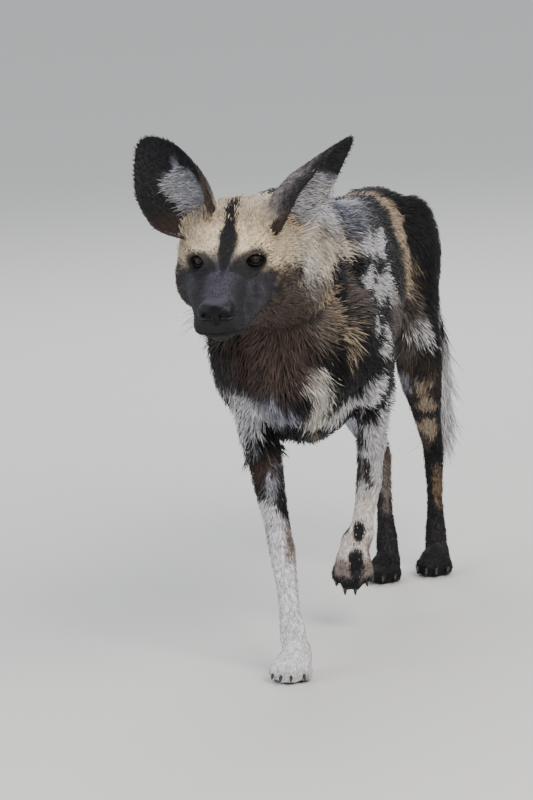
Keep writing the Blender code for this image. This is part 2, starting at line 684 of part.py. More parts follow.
def largest(obj, collection):
    """Keeps only the largest closed surface of an object."""
    name = obj.name
    parts = loose_parts(obj, collection)
    bpy.data.objects.remove(obj)
    for part in parts[1:]:
        bpy.data.objects.remove(part)
    parts[0].name = name
    parts[0].data.name = name
    return parts[0]


def grow_all(obj, pieces, collection):
    """Fuses many closed pieces into the body they grow from, by one Boolean union."""
    group = bpy.data.collections.new("growth")
    bpy.context.scene.collection.children.link(group)
    for piece in pieces:
        for home in list(piece.users_collection):
            home.objects.unlink(piece)
        group.objects.link(piece)
    run_modifier(obj, "BOOLEAN", operand_type="COLLECTION", collection=group, operation="UNION", solver="MANIFOLD")
    for piece in list(group.objects):
        bpy.data.objects.remove(piece)
    bpy.data.collections.remove(group)
    return largest(obj, collection)


# The slots that part the body: name of the slot, a point on it, its normal and its two half sizes
def slots():
    """Blades between head, neck, trunk, legs and feet."""
    made = [
        ("neck_to_head", (-0.018, -0.300, 0.604), (0, -0.974, 0.226), 0.16, 0.16),
        ("trunk_to_neck", (-0.010, -0.128, 0.600), (0, -0.72, 0.69), 0.16, 0.15),
    ]
    for leg, share in ((RIGHT_FORE, 0.36), (LEFT_FORE, 0.52)):
        elbow, wrist = Vector(leg.joints[1]), Vector(leg.joints[2])
        side = -1 if elbow.x < 0 else 1
        made.append(("elbow", elbow.lerp(wrist, share) + Vector((side * 0.005, 0, 0)), wrist - elbow, 0.052, 0.060))
        knuckle = Vector(leg.joints[3])
        made.append(("foot", wrist.lerp(knuckle, 0.80), knuckle - wrist, 0.040, 0.040))
    for leg in (LEFT_HIND, RIGHT_HIND):
        hip, stifle, hock, knuckle = (Vector(j) for j in leg.joints)
        side = -1 if hip.x < 0 else 1
        made.append(("thigh", hip.lerp(stifle, 0.98) + Vector((side * 0.006, 0.016, 0)), stifle - hip, 0.058, 0.10))
        made.append(("foot", hock.lerp(knuckle, 0.86), knuckle - hock, 0.036, 0.036))
    return made


def name_pieces(parts):
    """Names each parted piece by the reference point that lies nearest to its middle."""
    places = {
        "head": EYES_AT + Vector((0, 0.05, 0)), "neck": Vector((-0.01, -0.21, 0.58)), "torso": Vector((0, 0.16, 0.48)),
    }
    for name, leg in (("front_right", RIGHT_FORE), ("front_left", LEFT_FORE),
                      ("hind_left", LEFT_HIND), ("hind_right", RIGHT_HIND)):
        share = 0.6 if name.startswith("front") else 0.35
        places["leg_" + name] = Vector(leg.joints[1]).lerp(Vector(leg.joints[2]), share)
        places["paw_" + name] = foot_frame(leg, 1.0) @ Vector((0, -0.01, 0.02))
    named = {}
    for part in parts:
        corners = [Vector(c) for c in part.bound_box]
        middle = sum(corners, Vector()) / 8
        name = min(places, key=lambda n: (places[n] - middle).length)
        if name in named:
            bpy.data.objects.remove(part)
            continue
        part.name = part.data.name = name
        named[name] = part
    return named


def tail_locks(core, collection):
    """Locks all round the brush, which start at mid tail and hang to below its end."""
    rng = np.random.default_rng(12)
    line = [Vector(p) for p in ((0.036, 0.611, 0.422), (0.044, 0.616, 0.380), (0.054, 0.621, 0.315),
                                (0.058, 0.624, 0.255), (0.056, 0.624, 0.212))]
    made = []
    rows = 6
    for row in range(rows):
        share = row / (rows - 1) * (len(line) - 1)
        i = min(int(share), len(line) - 2)
        centre = line[i].lerp(line[i + 1], share - i)
        down = (line[i + 1] - line[i]).normalized()
        side = down.cross(Vector((0, 1, 0))).normalized()
        front = side.cross(down)
        count = 6 if row < rows - 1 else 5
        for k in range(count):
            angle = 2 * math.pi * (k + 0.5 * (row % 2) + rng.uniform(-0.15, 0.15)) / count
            out = side * math.cos(angle) + front * math.sin(angle)
            length = rng.uniform(0.080, 0.098) * (0.75 + 0.25 * row / rows)
            way = down + out * rng.uniform(0.02, 0.14) + Vector((0, 0, -0.25))
            made.append(lock(centre + out * 0.0100, way, out, length, 0.0165, 0.0060,
                             rng.uniform(-0.3, 0.3), 0.17, collection))
    return made


def ruff_locks(neck_piece, collection):
    """Locks on the throat and the sides of the neck, laid along the coat."""
    rng = np.random.default_rng(5)
    tree = BVHTree.FromObject(neck_piece, bpy.context.evaluated_depsgraph_get())
    made = []
    for row, y in enumerate((-0.262, -0.226, -0.190)):
        middle = Vector((-0.014, y, 0.592 + (-0.20 - y) * 0.23))
        for k in range(9):
            angle = math.radians(-90 + (k - 4 + 0.5 * (row % 2)) * 21 + rng.uniform(-3, 3))
            way_out = Vector((math.cos(angle), 0, math.sin(angle)))
            hit = tree.ray_cast(middle, way_out)
            if hit[0] is None:
                continue
            normal = hit[1]
            lie = Vector((0.10 * way_out.x, 0.80, -0.60 * abs(way_out.x)))
            lie = lie - normal * lie.dot(normal)
            length = rng.uniform(0.054, 0.064)
            made.append(lock(hit[0] - normal * 0.0020, lie, normal, length, 0.0270, 0.0070,
                             rng.uniform(-0.2, 0.2), 0.10, collection))
    return made


def flatten_soles(obj, collection):
    """Cuts off what hangs below the floor, which leaves the pads' flats."""
    bm = bmesh.new()
    bmesh.ops.create_cube(bm, size=1.0)
    bm.transform(Matrix.Translation(Vector((0, 0.15, -0.05 + 0.0015))) @ Matrix.Diagonal((1.0, 2.0, 0.1, 1.0)))
    cut(obj, object_from(bm, "floor", collection))


def main():
    """Builds the dog."""
    for obj in list(bpy.data.objects):
        bpy.data.objects.remove(obj)
    dog = bpy.data.collections.new("african_wild_dog")
    bpy.context.scene.collection.children.link(dog)

    # Flesh: one skin over every mass
    masses = [torso(dog), neck(dog), *shoulder_masses(dog), *rump_masses(dog)]
    for leg in (RIGHT_FORE, LEFT_FORE):
        masses += foreleg(leg, dog) + paw(leg, dog)
    for leg in (LEFT_HIND, RIGHT_HIND):
        masses += hindleg(leg, dog) + paw(leg, dog, 0.92)
    masses += skull(dog) + lid_domes(dog)
    flesh = joined("flesh", masses, dog)
    run_modifier(flesh, "REMESH", mode="VOXEL", voxel_size=VOXEL)
    soften(flesh)
    mouth = mouth_points(flesh)
    lips = [tube("lip", [p + head_frame().to_3x3() @ Vector((0, 0.0010, lift)) for p in mouth], 0.0034, dog)
            for lift in (0.0040, -0.0042)]
    flesh = joined("flesh", [flesh, *lips], dog)
    run_modifier(flesh, "REMESH", mode="VOXEL", voxel_size=VOXEL)
    run_modifier(flesh, "SMOOTH", factor=0.5, iterations=2)
    thin(flesh, FLESH_TRIANGLES)
    flatten_soles(flesh, dog)

    # Mouth, nose, eyes and tail
    cut(flesh, tube("mouth", mouth, 0.0013, dog, 0.75))
    for side in (-1, 1):
        cut(flesh, eye_opening(side, dog))
        centre = eye_place(side)
        socket = EYE_RADIUS + GAP
        cut(flesh, ball("socket", centre, (socket,) * 3, dog, frame=head_frame(), segments=20, rings=14))
    flesh = largest(flesh, dog)
    tail = tail_core(dog)
    cut(tail, grown(flesh, dog))
    tail = largest(tail, dog)
    pad = nose(dog)
    cut(pad, grown(flesh, dog))
    pad = largest(pad, dog)
    ears = {}
    for side, name in ((-1, "ear_right"), (1, "ear_left")):
        made = ear(side, dog)
        cut(made, grown(flesh, dog))
        ears[name] = largest(made, dog)
        ears[name].name = ears[name].data.name = name

    # Part the body
    for _, at, normal, across, deep in slots():
        cut(flesh, blade(at, normal, across, deep, dog))
    parts = loose_parts(flesh, dog)
    bpy.data.objects.remove(flesh)
    named = name_pieces(parts)

    # Claws on the feet
    for name, leg, scale in (("front_right", RIGHT_FORE, 1.0), ("front_left", LEFT_FORE, 1.0),
                             ("hind_left", LEFT_HIND, 0.92), ("hind_right", RIGHT_HIND, 0.92)):
        named["paw_" + name] = grow_all(named["paw_" + name], claws(leg, dog, scale), dog)

    # Tail parted in dock and brush, and the brush's hair
    cut(tail, blade((0.028, 0.605, 0.452), (0.22, 0.12, -0.96), 0.05, 0.05, dog))
    dock, brush = sorted(loose_parts(tail, dog)[:2], key=lambda o: -max(v.co.z for v in o.data.vertices))
    bpy.data.objects.remove(tail)
    dock.name = dock.data.name = "tail_dock"
    brush.name = brush.data.name = "tail_brush"
    named["tail_dock"] = dock
    named["tail_brush"] = grow_all(brush, tail_locks(brush, dog), dog)
    cut(named["tail_brush"], grown(dock, dog))
    named["tail_brush"] = largest(named["tail_brush"], dog)

    # The ruff
    throat = grow_all(named["neck"], ruff_locks(named["neck"], dog), dog)
    for other in ("torso", "head"):
        cut(throat, grown(named[other], dog, GAP * 0.4))
    named["neck"] = largest(throat, dog)

    for side, name in ((-1, "eye_right"), (1, "eye_left")):
        named[name] = ball(name, eye_place(side), (EYE_RADIUS,) * 3, dog, frame=head_frame(), segments=16, rings=12)
    pad.name = pad.data.name = "nose"
    named["nose"] = pad
    named.update(ears)

    finishes = {
        "coat_tan": material("coat_tan", TAN, 0.9), "coat_black": material("coat_black", BLACK, 0.85),
        "coat_white": material("coat_white", WHITE, 0.9), "coat_brown": material("coat_brown", BROWN, 0.9),
        "nose_leather": material("nose_leather", PAD, 0.45), "eye": material("eye", EYE, 0.1),
    }
    for name, obj in named.items():
        finish = "coat_black"
        if name in ("neck", "leg_hind_left", "leg_hind_right"):
            finish = "coat_brown"
        if name in ("head",):
            finish = "coat_tan"
        if name in ("tail_brush", "leg_front_left", "leg_front_right"):
            finish = "coat_white"
        if name == "nose":
            finish = "nose_leather"
        if name.startswith("eye"):
            finish = "eye"
        obj.data.materials.clear()
        obj.data.materials.append(finishes[finish])

    # The model stands with the middle of its box over the origin and its soles on the floor
    points = np.array([obj.matrix_world @ v.co for obj in named.values() for v in obj.data.vertices])
    low, high = points.min(axis=0), points.max(axis=0)
    shift = Matrix.Translation(Vector((-(low[0] + high[0]) / 2, -(low[1] + high[1]) / 2, -low[2])))
    for obj in named.values():
        obj.data.transform(shift)
        obj.data.update()


if __name__ == "__main__":
    main()
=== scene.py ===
"""African wild dog, life size, at a walk: skin, coat, eyes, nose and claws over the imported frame.

The animal is worked out in its own frame, in metres: it faces -Y, its left side is +X and the floor
is z = 0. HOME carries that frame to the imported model's, and each finished mesh is moved by it.
"""

import itertools
import json
import logging
import math
from collections.abc import Callable
from dataclasses import dataclass, fields
from enum import Enum
from functools import cached_property

import bpy
import numpy as np
from mathutils import Matrix, Vector
from mathutils.bvhtree import BVHTree

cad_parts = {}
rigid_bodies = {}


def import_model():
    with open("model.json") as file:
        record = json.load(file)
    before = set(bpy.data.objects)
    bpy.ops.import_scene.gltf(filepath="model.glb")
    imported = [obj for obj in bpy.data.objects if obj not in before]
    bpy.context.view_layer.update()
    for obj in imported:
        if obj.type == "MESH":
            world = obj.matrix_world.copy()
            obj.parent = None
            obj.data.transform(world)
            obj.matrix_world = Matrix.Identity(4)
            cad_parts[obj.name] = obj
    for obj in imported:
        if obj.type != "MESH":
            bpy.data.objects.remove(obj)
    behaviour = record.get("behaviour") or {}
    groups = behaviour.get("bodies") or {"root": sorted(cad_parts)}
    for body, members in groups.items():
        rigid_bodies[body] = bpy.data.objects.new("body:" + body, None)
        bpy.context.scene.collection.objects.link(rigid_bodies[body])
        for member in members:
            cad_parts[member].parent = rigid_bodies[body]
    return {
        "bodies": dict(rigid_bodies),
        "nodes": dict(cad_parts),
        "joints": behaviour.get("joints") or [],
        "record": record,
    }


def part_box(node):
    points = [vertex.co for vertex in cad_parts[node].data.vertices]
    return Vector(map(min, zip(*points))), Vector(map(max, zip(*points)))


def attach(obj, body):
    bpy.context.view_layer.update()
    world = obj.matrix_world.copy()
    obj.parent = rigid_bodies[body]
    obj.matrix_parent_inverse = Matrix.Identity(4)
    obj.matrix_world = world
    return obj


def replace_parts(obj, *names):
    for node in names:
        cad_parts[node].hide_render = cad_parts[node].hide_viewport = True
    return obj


log = logging.getLogger("wild_dog")

# The head's own frame: the midpoint between the eyes, x to its left, -y ahead
EYES_AT = Vector((-0.021, -0.410, 0.626))
EYE_BOX_MIDDLE = Vector((-0.02114, -0.40462, 0.62714))
HEAD = (Matrix.Translation(EYES_AT) @ Matrix.Rotation(math.radians(1.5), 4, "Z")
        @ Matrix.Rotation(math.radians(12.0), 4, "X"))
EYE_APART = 0.070
EYE_RADIUS = 0.0122
MUZZLE = 0.108
MOUTH_LINE = ((-MUZZLE, -0.056, -0.040, -0.022, -0.002), (-0.0638, -0.0642, -0.0640, -0.0625, -0.0575))
SIDES = ((-1, "right"), (1, "left"))
FLESH = ("head", "torso", "leg_front_left", "leg_front_right", "leg_hind_left", "leg_hind_right",
         "paw_front_left", "paw_front_right", "paw_hind_left", "paw_hind_right", "tail_dock")
REGIONS = FLESH + ("neck", "ear_left", "ear_right", "tail_brush")


class Shade(Enum):
    """Colours of the coat and of bare skin, as sRGB hex values."""

    INK = "#171619"
    SOOT = "#2b282b"
    SNOW = "#e6e3e6"
    FROST = "#bcbdc8"
    CREAM = "#e8dac6"
    PALE = "#efe7de"
    SAND = "#ccb69c"
    RUST = "#75604c"
    TAUPE = "#83766f"
    COCOA = "#594a42"
    SLATE = "#55566a"
    UMBER = "#3d3029"
    MASK = "#201e22"
    # This colour is painted sheen: the sky's blue-grey reflection, laid on the muzzle and on the top of the
    # nose.
    BRIDGE = "#45434e"
    BROW = "#d6c2a6"
    PAD = "#1a181a"


def linear(code: str) -> np.ndarray:
    """Turns an sRGB hex colour to linear RGB.

    Args:
        code: The colour, as "#rrggbb".

    Returns:
        Three linear values.
    """
    value = np.array([int(code[i:i + 2], 16) / 255.0 for i in (1, 3, 5)])
    return np.where(value <= 0.04045, value / 12.92, ((value + 0.055) / 1.055) ** 2.4)


def smooth(low: float, high: float, value: np.ndarray) -> np.ndarray:
    """Rises smoothly from 0 at low to 1 at high.

    Args:
        low: Where the result is 0.
        high: Where the result is 1.
        value: The values to grade.

    Returns:
        One number from 0 to 1 for each value.
    """
    share = np.clip((value - low) / (high - low), 0.0, 1.0)
    return share * share * (3.0 - 2.0 * share)


def unit(rows: np.ndarray) -> np.ndarray:
    """Rows scaled to length one."""
    return rows / np.maximum(np.linalg.norm(rows, axis=-1, keepdims=True), 1e-9)


def carried(matrix: Matrix, points: np.ndarray) -> np.ndarray:
    """Points moved by a 4x4 matrix."""
    m = np.array(matrix)
    return points @ m[:3, :3].T + m[:3, 3]


class Wander:
    """Smooth seeded noise over space, made of plane waves."""

    def __init__(self, seed: int, size: float, waves: int = 9) -> None:
        """Draws the waves.

        Args:
            seed: Seed of the draw.
            size: Usual width of a blotch, in metres.
            waves: How many waves are added up.
        """
        rng = np.random.default_rng(seed)
        self.ways = unit(rng.normal(size=(waves, 3))) * (math.pi / size) * rng.uniform(0.6, 1.7, (waves, 1))
        self.phases = rng.uniform(0, 2 * math.pi, waves)

    def __call__(self, points: np.ndarray) -> np.ndarray:
        """Noise of about -1 to 1 at each point."""
        return np.sin(points @ self.ways.T + self.phases).sum(axis=1) / math.sqrt(len(self.phases)) * 0.9


EDGE = Wander(3, 0.016)
DRIFT = Wander(8, 0.045)


def within(region: np.ndarray, *starts: str) -> np.ndarray:
    """Tells which points lie in some regions.

    Args:
        region: Region number of each point.
        *starts: Beginnings of the names of the regions.

    Returns:
        True for each point that lies in one of them.
    """
    return np.isin(region, [k for k, name in enumerate(REGIONS) if name.startswith(starts)])


def blend(colour: np.ndarray, shade: Shade, share: np.ndarray) -> np.ndarray:
    """Colours mixed towards a shade by a share for each point."""
    return colour + (linear(shade.value) - colour) * share[:, None]


@dataclass
class Spots:
    """Places on the animal: each array has one row for each.

    Attributes:
        points: Places in the animal's frame.
        normals: Outward directions there.
        region: Number of the region that each lies in.
    """

    points: np.ndarray
    normals: np.ndarray
    region: np.ndarray

    @cached_property
    def local(self) -> np.ndarray:
        """The same places in the head's frame."""
        return carried(HEAD.inverted(), self.points)

    @cached_property
    def ragged(self) -> np.ndarray:
        """Noise that frays the borders of markings."""
        return 0.75 * EDGE(self.points) + 0.5 * DRIFT(self.points)

    def at(self, *starts: str) -> np.ndarray:
        """True for each place that lies in a region whose name begins so."""
        return within(self.region, *starts)


@dataclass(frozen=True)
class Patch:
    """A marking: an ellipsoid in the coat with a ragged border.

    Attributes:
        at: Its middle, in millimetres.
        half: Its three half sizes, in millimetres.
        shade: Its colour.
        wild: How ragged the border is.
        soft: How wide the border blends.
        strength: How fully it covers.
        only: Beginnings of the names of the regions that it may colour.
        in_head: True where its place is in the head's frame.
    """

    at: tuple
    half: tuple
    shade: Shade
    wild: float = 0.26
    soft: float = 0.16
    strength: float = 1.0
    only: tuple = ()
    in_head: bool = False

    def weight(self, spots: Spots) -> np.ndarray:
        """How far the patch colours each place, from 0 to 1."""
        off = (spots.local if self.in_head else spots.points) - np.array(self.at) / 1000.0
        reach = np.linalg.norm(off / (np.array(self.half) / 1000.0), axis=1) + self.wild * spots.ragged
        return smooth(1.0 + self.soft, 1.0 - self.soft, reach) * self.strength * spots.at(*self.only)


def marks(only: tuple, *rows: tuple, in_head: bool = False) -> list:
    """Markings that may colour the same regions.

    Args:
        only: Beginnings of the names of those regions.
        *rows: What Patch takes for each marking, from its middle to its strength.
        in_head: True where the places are in the head's frame.

    Returns:
        The markings.
    """
    return [Patch(*row, only=only, in_head=in_head) for row in rows]


BODY = ("torso", "neck", "head")
TRUNK = ("torso", "leg_")
PATCHES = [
    # Neck: pale sides, a brown throat and a sandy bar in front of the left shoulder
    *marks(BODY,
           ((-12, -235, 610), (115, 105, 85), Shade.CREAM),
           ((58, -250, 590), (34, 50, 38), Shade.PALE),
           ((-90, -205, 570), (40, 70, 85), Shade.PALE),
           ((50, -215, 530), (36, 44, 44), Shade.TAUPE, 0.30, 0.40, 0.85),
           ((86, -118, 505), (32, 12, 50), Shade.SOOT, 0.30, 0.40, 0.80),
           ((68, -145, 566), (30, 60, 15), Shade.SOOT, 0.36, 0.35, 0.85),
           ((64, -176, 550), (32, 17, 22), Shade.SAND, 0.34, 0.34),
           ((73, -146, 512), (32, 16, 36), Shade.SAND, 0.34, 0.34),
           ((80, -137, 470), (32, 14, 30), Shade.SAND, 0.34, 0.40, 0.85),
           ((-88, -120, 530), (40, 24, 60), Shade.SAND, 0.34, 0.34),
           ((64, -150, 612), (40, 100, 21), Shade.CREAM),
           ((72, -75, 592), (36, 40, 16), Shade.CREAM, 0.34, 0.34),
           ((-68, -80, 606), (44, 75, 30), Shade.CREAM),
           ((-18, -205, 485), (74, 110, 92), Shade.COCOA, 0.24, 0.34),
           ((12, -285, 545), (72, 66, 52), Shade.COCOA, 0.24, 0.34),
           ((44, -165, 500), (18, 30, 35), Shade.TAUPE, 0.36, 0.40, 0.75)),
    # Withers and back
    *marks(BODY,
           ((30, 90, 632), (95, 230, 46), Shade.SLATE, 0.40, 0.45, 0.75),
           ((46, -100, 645), (46, 46, 18), Shade.SNOW, 0.45, 0.50, 0.85),
           ((-50, -60, 645), (50, 60, 26), Shade.SNOW, 0.40, 0.40, 0.85),
           ((0, 240, 618), (22, 90, 20), Shade.SNOW, 0.50, 0.50, 0.65),
           ((74, 20, 586), (32, 62, 19), Shade.SNOW, 0.34),
           ((70, 140, 566), (32, 85, 18), Shade.SNOW, 0.34),
           ((83, 20, 538), (32, 52, 18), Shade.SNOW, 0.34),
           ((86, 100, 513), (32, 60, 21), Shade.SNOW, 0.34),
           ((88, 170, 488), (32, 40, 13), Shade.SNOW, 0.34),
           ((110, -62, 486), (30, 28, 12), Shade.SNOW),
           ((115, -20, 464), (30, 20, 10), Shade.SNOW),
           ((116, -40, 444), (30, 20, 10), Shade.SNOW),
           ((88, -95, 532), (32, 24, 30), Shade.TAUPE, 0.50, 0.50, 0.65),
           ((85, 195, 455), (34, 60, 30), Shade.TAUPE, 0.50, 0.50, 0.70)),
    *marks(TRUNK,
           ((64, 362, 420), (34, 26, 55), Shade.TAUPE, 0.50, 0.50, 0.60)),
    *marks(BODY,
           ((70, 180, 400), (40, 30, 16), Shade.SNOW)),
    # Rump and thighs
    *marks(TRUNK,
           ((38, 388, 586), (36, 24, 30), Shade.SAND, 0.36, 0.30),
           ((60, 368, 548), (34, 25, 36), Shade.SAND, 0.36, 0.30),
           ((71, 350, 494), (36, 36, 46), Shade.SAND, 0.40, 0.40, 0.90),
           ((92, 382, 398), (30, 8, 21), Shade.SNOW)),
    *marks(("leg_hind_left",),
           ((52, 390, 320), (13, 24, 15), Shade.FROST, 0.40, 0.30)),
    *marks(TRUNK,
           ((103, 452, 408), (26, 20, 26), Shade.SNOW),
           ((-45, 390, 560), (50, 45, 50), Shade.SAND, 0.36, 0.30),
           ((-80, 440, 430), (35, 30, 26), Shade.SNOW),
           ((0, 545, 520), (45, 36, 50), Shade.SAND, 0.36, 0.30)),
    # Right side
    *marks(BODY,
           ((-100, 60, 540), (40, 60, 26), Shade.SNOW),
           ((-98, 130, 480), (40, 38, 34), Shade.SNOW),
           ((-92, 205, 520), (40, 42, 36), Shade.SAND),
           ((-85, 290, 470), (40, 34, 22), Shade.SNOW),
           ((-118, -30, 470), (30, 24, 18), Shade.SNOW)),
    # Chest
    *marks(TRUNK,
           ((-86, -105, 376), (50, 62, 44), Shade.SNOW, 0.34, 0.24),
           ((-118, -80, 384), (14, 34, 18), Shade.INK),
           ((-104, -64, 348), (20, 20, 18), Shade.INK),
           ((-28, -148, 370), (44, 44, 34), Shade.SLATE, 0.40, 0.40, 0.85),
           ((-36, -150, 380), (34, 40, 20), Shade.FROST, 0.60, 0.50, 0.55),
           ((37, -145, 404), (22, 44, 40), Shade.PALE, 0.42, 0.36, 0.92),
           ((34, -104, 360), (30, 32, 14), Shade.PALE, 0.36, 0.30),
           ((56, -134, 437), (12, 44, 42), Shade.INK, 0.34, 0.30),
           ((60, -102, 388), (12, 34, 20), Shade.INK, 0.34, 0.30),
           ((11, -160, 396), (16, 34, 15), Shade.INK, 0.34, 0.30),
           ((76, -62, 373), (32, 34, 15), Shade.SNOW),
           ((104, -54, 393), (22, 26, 16), Shade.SNOW),
           ((48, -78, 354), (22, 30, 13), Shade.SNOW),
           ((101, 24, 344), (34, 34, 32), Shade.SNOW),
           ((84, 42, 302), (30, 38, 36), Shade.SNOW),
           ((88, -4, 348), (20, 20, 19), Shade.INK),
           ((72, 10, 334), (17, 20, 14), Shade.INK),
           ((0, -94, 336), (46, 30, 11), Shade.INK),
           ((16, -80, 326), (14, 14, 8), Shade.SAND, 0.40, 0.40, 0.80)),
    # Left foreleg: white in front, black on its inner edge, knuckles and toes
    *marks(("leg_front_left",),
           ((71, 79, 257), (26, 44, 52), Shade.SNOW, 0.14),
           ((60, 100, 210), (24, 40, 36), Shade.SNOW, 0.14)),
    *marks(("leg_front_left", "paw_front_left"),
           ((42, 108, 168), (28, 40, 44), Shade.PALE, 0.14),
           ((22, 86, 112), (40, 50, 34), Shade.TAUPE, 0.30)),
    *marks(("paw_front_left",),
           ((18, 92, 128), (30, 30, 20), Shade.PALE, 0.34, 0.30, 0.70)),
    *marks(("leg_front_left",),
           ((53, 84, 236), (8, 30, 36), Shade.UMBER, 0.40, 0.30)),
    *marks(("leg_front_left", "paw_front_left"),
           ((31, 104, 149), (9, 22, 18), Shade.INK),
           ((28, 84, 101), (9.5, 34, 31), Shade.INK)),
    *marks(("leg_front_left",),
           ((88, 116, 250), (16, 22, 30), Shade.TAUPE, 0.40, 0.30)),
    # Right foreleg: black and brown above, white below
    *marks(("leg_front_right",),
           ((-58, -118, 286), (20, 34, 40), Shade.UMBER, 0.40, 0.40),
           ((-42, -128, 262), (7, 22, 22), Shade.FROST, 0.50, 0.50, 0.60)),
    *marks(("leg_front_right", "paw_front_right"),
           ((-24, -175, 125), (46, 60, 108), Shade.SNOW, 0.12)),
    *marks(("paw_front_right",),
           ((-6, -205, 35), (60, 80, 60), Shade.SNOW)),
    *marks(("leg_front_right",),
           ((-51, -140, 226), (18, 40, 18), Shade.SNOW),
           ((-10, -140, 205), (10, 34, 40), Shade.TAUPE, 0.40, 0.40),
           ((6, -155, 150), (12, 30, 44), Shade.TAUPE, 0.40, 0.40),
           ((-50, -160, 182), (8, 22, 16), Shade.INK, 0.40, 0.40),
           ((-80, -95, 330), (20, 30, 20), Shade.FROST, 0.40, 0.40, 0.70)),
    # Hind legs
    *marks(("leg_hind_left",),
           ((78, 400, 300), (40, 46, 60), Shade.COCOA, 0.60, 0.50, 0.45),
           ((74, 392, 310), (12, 22, 26), Shade.SAND, 0.60, 0.40, 0.75),
           ((77, 418, 280), (13, 22, 18), Shade.SAND, 0.60, 0.40, 0.75),
           ((66, 472, 230), (13, 26, 20), Shade.SAND, 0.50, 0.40, 0.80),
           ((54, 494, 205), (12, 24, 26), Shade.COCOA, 0.50, 0.40),
           ((70, 522, 130), (8, 14, 30), Shade.RUST, 0.50, 0.40, 0.80)),
    *marks(("leg_hind_right",),
           ((-40, 430, 270), (34, 40, 40), Shade.FROST, 0.34, 0.30),
           ((0, 480, 170), (14, 26, 50), Shade.TAUPE, 0.50, 0.40, 0.75)),
    # Head: sandy crown, pale brow, dark mask, and the black stripe up the forehead
    *marks(("head",),
           ((0, 60, 10), (110, 85, 110), Shade.BROW, 0.05), in_head=True),
    *marks(("head", "neck"),
           ((0, 100, 55), (70, 55, 35), Shade.CREAM, 0.25, 0.40, 0.60), in_head=True),
    *marks(("head",),
           ((84, 85, -20), (30, 45, 50), Shade.CREAM, 0.20, 0.40, 0.70),
           ((-78, 60, -10), (30, 50, 40), Shade.BROW, 0.20, 0.40), in_head=True),
]


def face_shade(spots: Spots, colour: np.ndarray) -> np.ndarray:
    """Lays the dark mask, painted blue-grey sheen on the muzzle, eye rims with painted brow shadow and the
    forehead stripe over the head.

    Args:
        spots: Places on the animal.
        colour: Colours so far.

    Returns:
        The colours with the face laid on.
    """
    points, local, head = spots.points, spots.local, spots.at("head")
    x, y, z = local.T
    ragged = 0.0035 * EDGE(points) + 0.0025 * DRIFT(points)
    outer = np.maximum(np.abs(x) - 0.028, 0.0)
    line = 0.001 - 9.0 * outer**2 - 0.22 * np.maximum(y - 0.02, 0.0) + np.where(x < 0, 0.003, 0.0)
    mask = smooth(0.006, -0.007, z - line + 1.3 * ragged) * smooth(0.150, 0.100, y) * head
    colour = blend(colour, Shade.MASK, mask)
    jowl = smooth(-0.010, 0.030, y + 3 * ragged + 0.25 * (np.abs(x) - 0.05)) * mask
    colour = blend(colour, Shade.UMBER, jowl * 0.9)
    mottle = smooth(-0.2, 1.0, EDGE(points * 2.6)) * mask
    colour = blend(colour, Shade.BROW, mottle * 0.16 * smooth(-0.02, 0.02, y))
    # Painted sheen: the sky's blue-grey reflection is painted on the top of the muzzle.
    muzzle_sheen = smooth(0.030, 0.010, np.abs(x)) * smooth(-0.042, -0.028, z) * smooth(-0.005, -0.025, y) * head
    colour = blend(colour, Shade.BRIDGE, muzzle_sheen * 0.8)
    # Painted sheen: the same blue-grey reflection is mottled onto the sides of the muzzle.
    side_sheen = smooth(0.030, 0.040, np.abs(x)) * smooth(-0.070, -0.050, z) * smooth(0.0, -0.030, y) * head
    colour = blend(colour, Shade.BRIDGE, side_sheen * (0.30 + 0.30 * EDGE(points * 2.0)).clip(0, 1))
    # Black fur round each eye, reaching higher above it: partly the real dark rim, partly painted shadow
    # under the brow.
    for side, _ in SIDES:
        off = local - np.array(eye_place(side))
        gap = np.hypot((off[:, 0] * side + 0.0010) / 0.0235, (off[:, 2] - 0.0020) / 0.0155)
        rim = smooth(1.22, 0.86, gap + 18 * ragged) * (np.abs(off[:, 1]) < 0.045)
        colour = blend(colour, Shade.INK, rim * 0.94 * head)
    rise = np.clip((z + 0.004) / 0.076, 0, 1)
    half = 0.0028 + 0.0098 * smooth(0.0, 0.35, rise) * smooth(1.0, 0.42, rise)
    middle = 0.001 + 0.002 * np.sin(rise * 3.0)
    stripe = smooth(1.35, 0.75, np.abs(x - middle) / half + 60 * ragged)
    stripe *= smooth(-0.010, 0.004, z) * smooth(0.105, 0.075, y) * (z > -0.02) * head
    colour = blend(colour, Shade.INK, stripe)
    front = smooth(0.032, 0.018, np.abs(x)) * smooth(-0.040, -0.050, z) * smooth(-0.055, -0.080, y) * head
    colour = blend(colour, Shade.INK, front * 0.85)
    lip = smooth(0.0030, 0.0010, np.abs(z - mouth_height(y))) * (y < 0.0) * head
    return blend(colour, Shade.INK, lip * 0.9)


def mouth_height(y: np.ndarray) -> np.ndarray:
    """Height of the mouth line in the head's frame, at y."""
    return np.interp(y, *MOUTH_LINE)


def eye_place(side: int) -> Vector:
    """Centre of an eyeball in the head's frame."""
    return Vector((side * EYE_APART / 2, 0.0055, 0.0))


